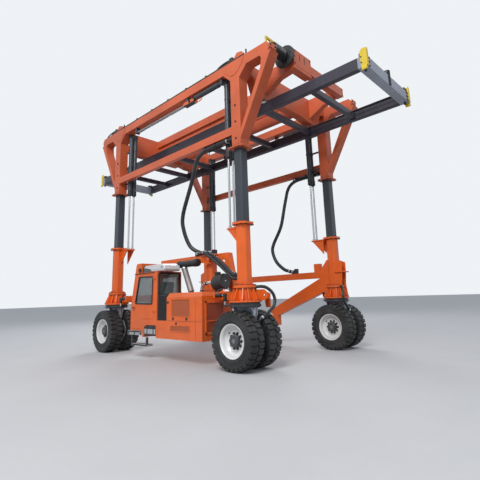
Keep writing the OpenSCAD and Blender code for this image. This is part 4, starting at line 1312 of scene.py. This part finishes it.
def end_panel(bench):
    """The machine end's pierced panel in a folded frame."""
    bench.plate(rect(-2.36, 0.77, -1.78, 1.48), 1.929, 1.933, end_mesh, "YZ", 0.001)
    for a, b, c, d in ((-2.40, 0.73, -1.74, 0.78), (-2.40, 1.47, -1.74, 1.52), (-2.40, 0.73, -2.35, 1.52),
                       (-1.79, 0.73, -1.74, 1.52), (-2.36, 1.03, -1.78, 1.06)):
        bench.bar((1.9295, a, b), (1.946, c, d), orange, 0.004)
    bench.bolts((1.946,), (-2.375, -1.765), (0.80, 1.12, 1.44), ALONG, 0.016, black_steel, False)
    bench.bar((1.9295, -2.455, 0.62), (1.9312, -2.449, 1.56), seal_rubber, 0.0004)


def frame_fittings():
    bench = Bench()
    grille(bench, 0.67, 1.47, 0.785, 0.925, -2.5005)
    catch(bench, 0.917, 0.978, 0.030)
    for x in (0.10, 1.688):
        joint(bench, x - 0.003, 0.60, x + 0.003, 1.03)
    for x in (0.20, 0.34):
        bench.turned([(0, 0.012), (0.004, 0.010)], black_steel, (x, BEHIND, 0.84), OUTWARD, 12)
    tank_side(bench)
    end_panel(bench)
    bench.make("frame_fittings", "chassis_near")


def locker_ribs():
    """The black panel between cab and hood is folded in upright ribs."""
    bench = Bench()
    for k in range(11):
        x = 0.088 + 0.037 * k
        rib = [(x, -2.4805), (x + 0.022, -2.4805), (x + 0.017, -2.494), (x + 0.005, -2.494)]
        bench.plate(rib, 1.055, 1.69, black_steel, "XY", 0.002)
    bench.bar((0.071, -2.486, 1.685), (0.489, -1.91, 1.708), black_steel)
    bench.make("locker_ribs", "chassis_near")


hood_fittings()
frame_fittings()
locker_ribs()

# %% [markdown]
# On top lie the silencer in its straps, with a wide pale pipe down to the hood, a
# bright intake pipe bent up to the air cleaner, and the cleaner's ribbed case. The
# steps are tread plate: raised bars across, between two folded edges.

# %% Exhaust, intake and steps
SILENCER_Y, SILENCER_Z = -1.84, 2.56
SILENCER_END = [(-0.03, 0.0955), (0.0, 0.099), (0.006, 0.094), (0.014, 0.05), (0.016, 0.0005)]
PIPE_START = Vector((0.37, SILENCER_Y, 2.54))
INTAKE_Y = -1.90
INTAKE = [(1.24, 1.7505), (1.24, 1.80), (1.245, 1.86), (1.29, 1.925), (1.36, 1.965), (1.46, 1.975),
          (1.64, 1.975), (1.812, 1.975)]
CLEANER_START = Vector((1.81, INTAKE_Y, 1.946))
CLEANER_CAP = [(0.300, 0.190), (0.302, 0.196), (0.328, 0.196), (0.338, 0.182), (0.340, 0.120),
               (0.334, 0.115), (0.334, 0.0005)]
RAIN_CAP = [(2.20, 0.0755), (2.205, 0.083), (2.224, 0.085), (2.245, 0.06), (2.252, 0.0005)]
STEPS = [(-1.43, -0.682, -2.5, -2.24, 0.725), (-1.23, -0.43, -2.5, -2.30, 0.370)]
TREAD_PITCH = 0.036


def from_upright(degrees):
    """The way of something that leans from upright towards +X."""
    return Vector((math.sin(math.radians(degrees)), 0, math.cos(math.radians(degrees))))


def exhaust_fittings():
    bench = Bench()
    for x in (0.24, 0.82):
        bench.band((x + 0.02, SILENCER_Y, SILENCER_Z), ALONG, 0.04, (0.0955, 0.101), black_steel, 40)
        bench.bolt((x + 0.02, SILENCER_Y, 2.661), UP, 0.020, zinc)
    for x, way in ((0.170, -1), (1.030, 1)):
        bench.turned(SILENCER_END, black_steel, (x, SILENCER_Y, SILENCER_Z), (way, 0, 0), 40)
    down = from_upright(155)
    bench.band(PIPE_START + down * 0.4625, down, 0.765, (0.0655, 0.084), pipe_steel, 40, 0.005, False)
    bench.band((0.9375, SILENCER_Y, SILENCER_Z), ALONG, 0.135, (0.0955, 0.108), black_steel, 40, 0.005)
    ring_clamp(bench, PIPE_START + down * 0.12, down, 0.084)
    bench.make("exhaust_fittings", "chassis_near")


def intake_fittings():
    bench = Bench()
    bench.tube([(x, INTAKE_Y, z) for x, z in INTAKE], 0.045, chrome, 28, 6)
    for x, z, along in ((1.24, 1.79, UP), (1.44, 1.974, ALONG), (1.78, 1.975, ALONG)):
        ring_clamp(bench, (x, INTAKE_Y, z), along, 0.045, black_steel)
    along = from_upright(80)
    for k in range(5):   # the case's ribs
        middle = CLEANER_START + along * (0.016 + 0.06 * k)
        bench.band(middle, along, 0.024, (0.190, 0.196), black_plastic, 48, caps=False)
    bench.turned(CLEANER_CAP, black_plastic, CLEANER_START, along, 48)
    bench.turned([(0.334, 0.02), (0.356, 0.016)], zinc, CLEANER_START, along, 12)
    bench.turned(RAIN_CAP, black_plastic, (1.87, INTAKE_Y, 0), sides=36)
    bench.make("intake_fittings", "chassis_near")


def step_treads():
    bench = Bench()
    for x0, x1, y0, y1, z in STEPS:
        for k in range(int((x1 - x0 - 0.04) / TREAD_PITCH)):
            x = x0 + 0.026 + TREAD_PITCH * k
            bench.bar((x, y0 + 0.012, z - 0.001), (x + 0.012, y1 - 0.012, z + 0.012), tread_plate, 0.003)
        for y in (y0, y1 - 0.010):
            bench.bar((x0, y, z - 0.03), (x1, y + 0.010, z + 0.016), tread_plate, 0.002)
    for x, top in ((-1.21, 0.619), (-0.45, 0.575)):
        bench.bar((x - 0.021, -2.5005, 0.371), (x + 0.021, -2.4385, top), black_steel)
    for x in (-1.20, -0.80):
        bench.bar((x - 0.035, -2.462, 0.726), (x + 0.035, -2.258, 0.749), black_steel)
    for x in (-1.38, -1.06, -0.74):
        bench.bar((x - 0.03, -2.503, 0.63), (x + 0.03, BEHIND, 0.69), black_steel, 0.001)
    bench.make("step_treads", "chassis_near")


exhaust_fittings()
intake_fittings()
step_treads()

# %% [markdown]
# The spreader's dark side rails carry steel-blue end beams, bolted on, with a stack of rubber rings in the
# middle of each. Yellow corner guides are bent round the corners. Short chains of real links hang it from the
# frame, and the hoist stretches them; here they are made fixed in place.

# %% Spreader
RAIL_END, BEAM_END = 5.85, 6.07
CROSS_PITCH = 1.5125
RUBBER_RING = [(0, 0.070), (0.003, 0.078), (0.026, 0.078), (0.030, 0.070)]
CORNER_PIN = [(0, 0.04), (0.05, 0.04), (0.06, 0.025), (0.10, 0.022), (0.104, 0.018)]
HOSE_ALONG = [(-5.84, 6.72), (-3, 6.70), (0, 6.70), (3, 6.70), (5.84, 6.72)]
SIDE_GUIDE = [(5.945, 6.50), (6.10, 6.50), (6.10, 6.90), (6.06, 6.94), (5.99, 6.94), (5.935, 6.87)]
GUIDE_FOOT = [(1.2205, 6.52), (1.2205, 6.42), (1.262, 6.405), (1.275, 6.43), (1.250, 6.52)]
END_GUIDE = [(1.221, 6.50), (1.16, 6.50), (1.16, 6.88), (1.19, 6.94), (1.221, 6.94)]
CHAIN_X, CHAIN_Y, LINK_PITCH = 3.0, 1.05, 0.048


def spreader():
    bench = Bench()
    for s in SIDES:
        bench.bar((-RAIL_END, s * 1.10, 6.49), (RAIL_END, s * 1.22, 6.78), rail_dark, 0.010)
        for z in (6.50, 6.755):   # the rails' flanges stand a little proud inside
            bench.bar((-RAIL_END, s * 1.06, z), (RAIL_END, s * 1.10, z + 0.018), rail_dark)
        bench.bar((s * RAIL_END, -1.22, 6.49), (s * BEAM_END, 1.22, 6.78), steel_blue, 0.010)
        bench.bolts((s * BEAM_END,), (-1.17, -1.09, 1.09, 1.17), (6.54, 6.64, 6.74), (s, 0, 0), 0.034)
        bench.bar((s * 6.069, -0.06, 6.50), (s * 6.074, 0.06, 6.79), black_steel)
        for k in range(11):   # rubber rings on an upright pin
            bench.turned(RUBBER_RING, hose_rubber, (s * 6.018, 0.02, 6.520 + 0.036 * k), UP, 32)
        for y in (-1.12, 1.12):
            bench.turned(CORNER_PIN, black_steel, (s * 5.97, y, 6.779), UP, 20)
    for i in range(-3, 4):
        x = CROSS_PITCH * i
        bench.bar((x - 0.07, -1.101, 6.53), (x + 0.07, 1.101, 6.69), rail_dark, 0.008)
    for i in range(-2, 3):
        for y in (-1.2205, 1.2205):
            bench.bolt((1.5 * i + 0.7, y, 6.74), (0, y, 0), 0.024)
    for y in (-0.96, 0.96):
        bench.tube([(x, y, z) for x, z in HOSE_ALONG], 0.016, hose_rubber, 8, 3)
    bench.make("spreader_beams", "spreader", 32, "spreader_frame")


def guides():
    bench = Bench()
    for sx, sy in product(SIDES, SIDES):
        bench.seat = Matrix.Diagonal((sx, sy, 1, 1))
        bench.plate(SIDE_GUIDE, 1.2205, 1.250, yellow, "XZ", 0.004)
        bench.plate(GUIDE_FOOT, 5.96, 6.085, yellow, "YZ", 0.004)
        bench.plate(END_GUIDE, 6.0705, 6.100, yellow, "YZ", 0.004)
        bench.bolts((5.965,), (1.250,), (6.60, 6.74), ACROSS, 0.022)
    bench.make("bent_guides", "spreader", 32, "corner_guides")


def chain_link(x, y, z, flat):
    """The middle line of one oval link, which lies along x when flat and along y when not."""
    link = []
    for u, v in circle(16, 1):
        across, up = 0.018 * u, 0.022 * v + math.copysign(0.009, v)
        link.append((x + (across if flat else 0), y + (0 if flat else across), z + up))
    return link


def chains():
    bench = Bench()
    for sx, sy in product(SIDES, SIDES):
        x, y = sx * CHAIN_X, sy * CHAIN_Y
        for k in range(4):
            link = chain_link(x, y, 6.712 + LINK_PITCH * k, k % 2)
            bench.tube(link, 0.0065, chain_steel, 8, 1, closed=True)
        bench.bar((x - 0.03, y - 0.03, 6.6905), (x + 0.03, y + 0.03, 6.70), chain_steel)
    bends = ("top_frame", (3, 0, 6.70), (3, 0, 6.878))
    bench.make("chain_links", "spreader", 40, "hoist_chains", bends)


spreader()
guides()
chains()
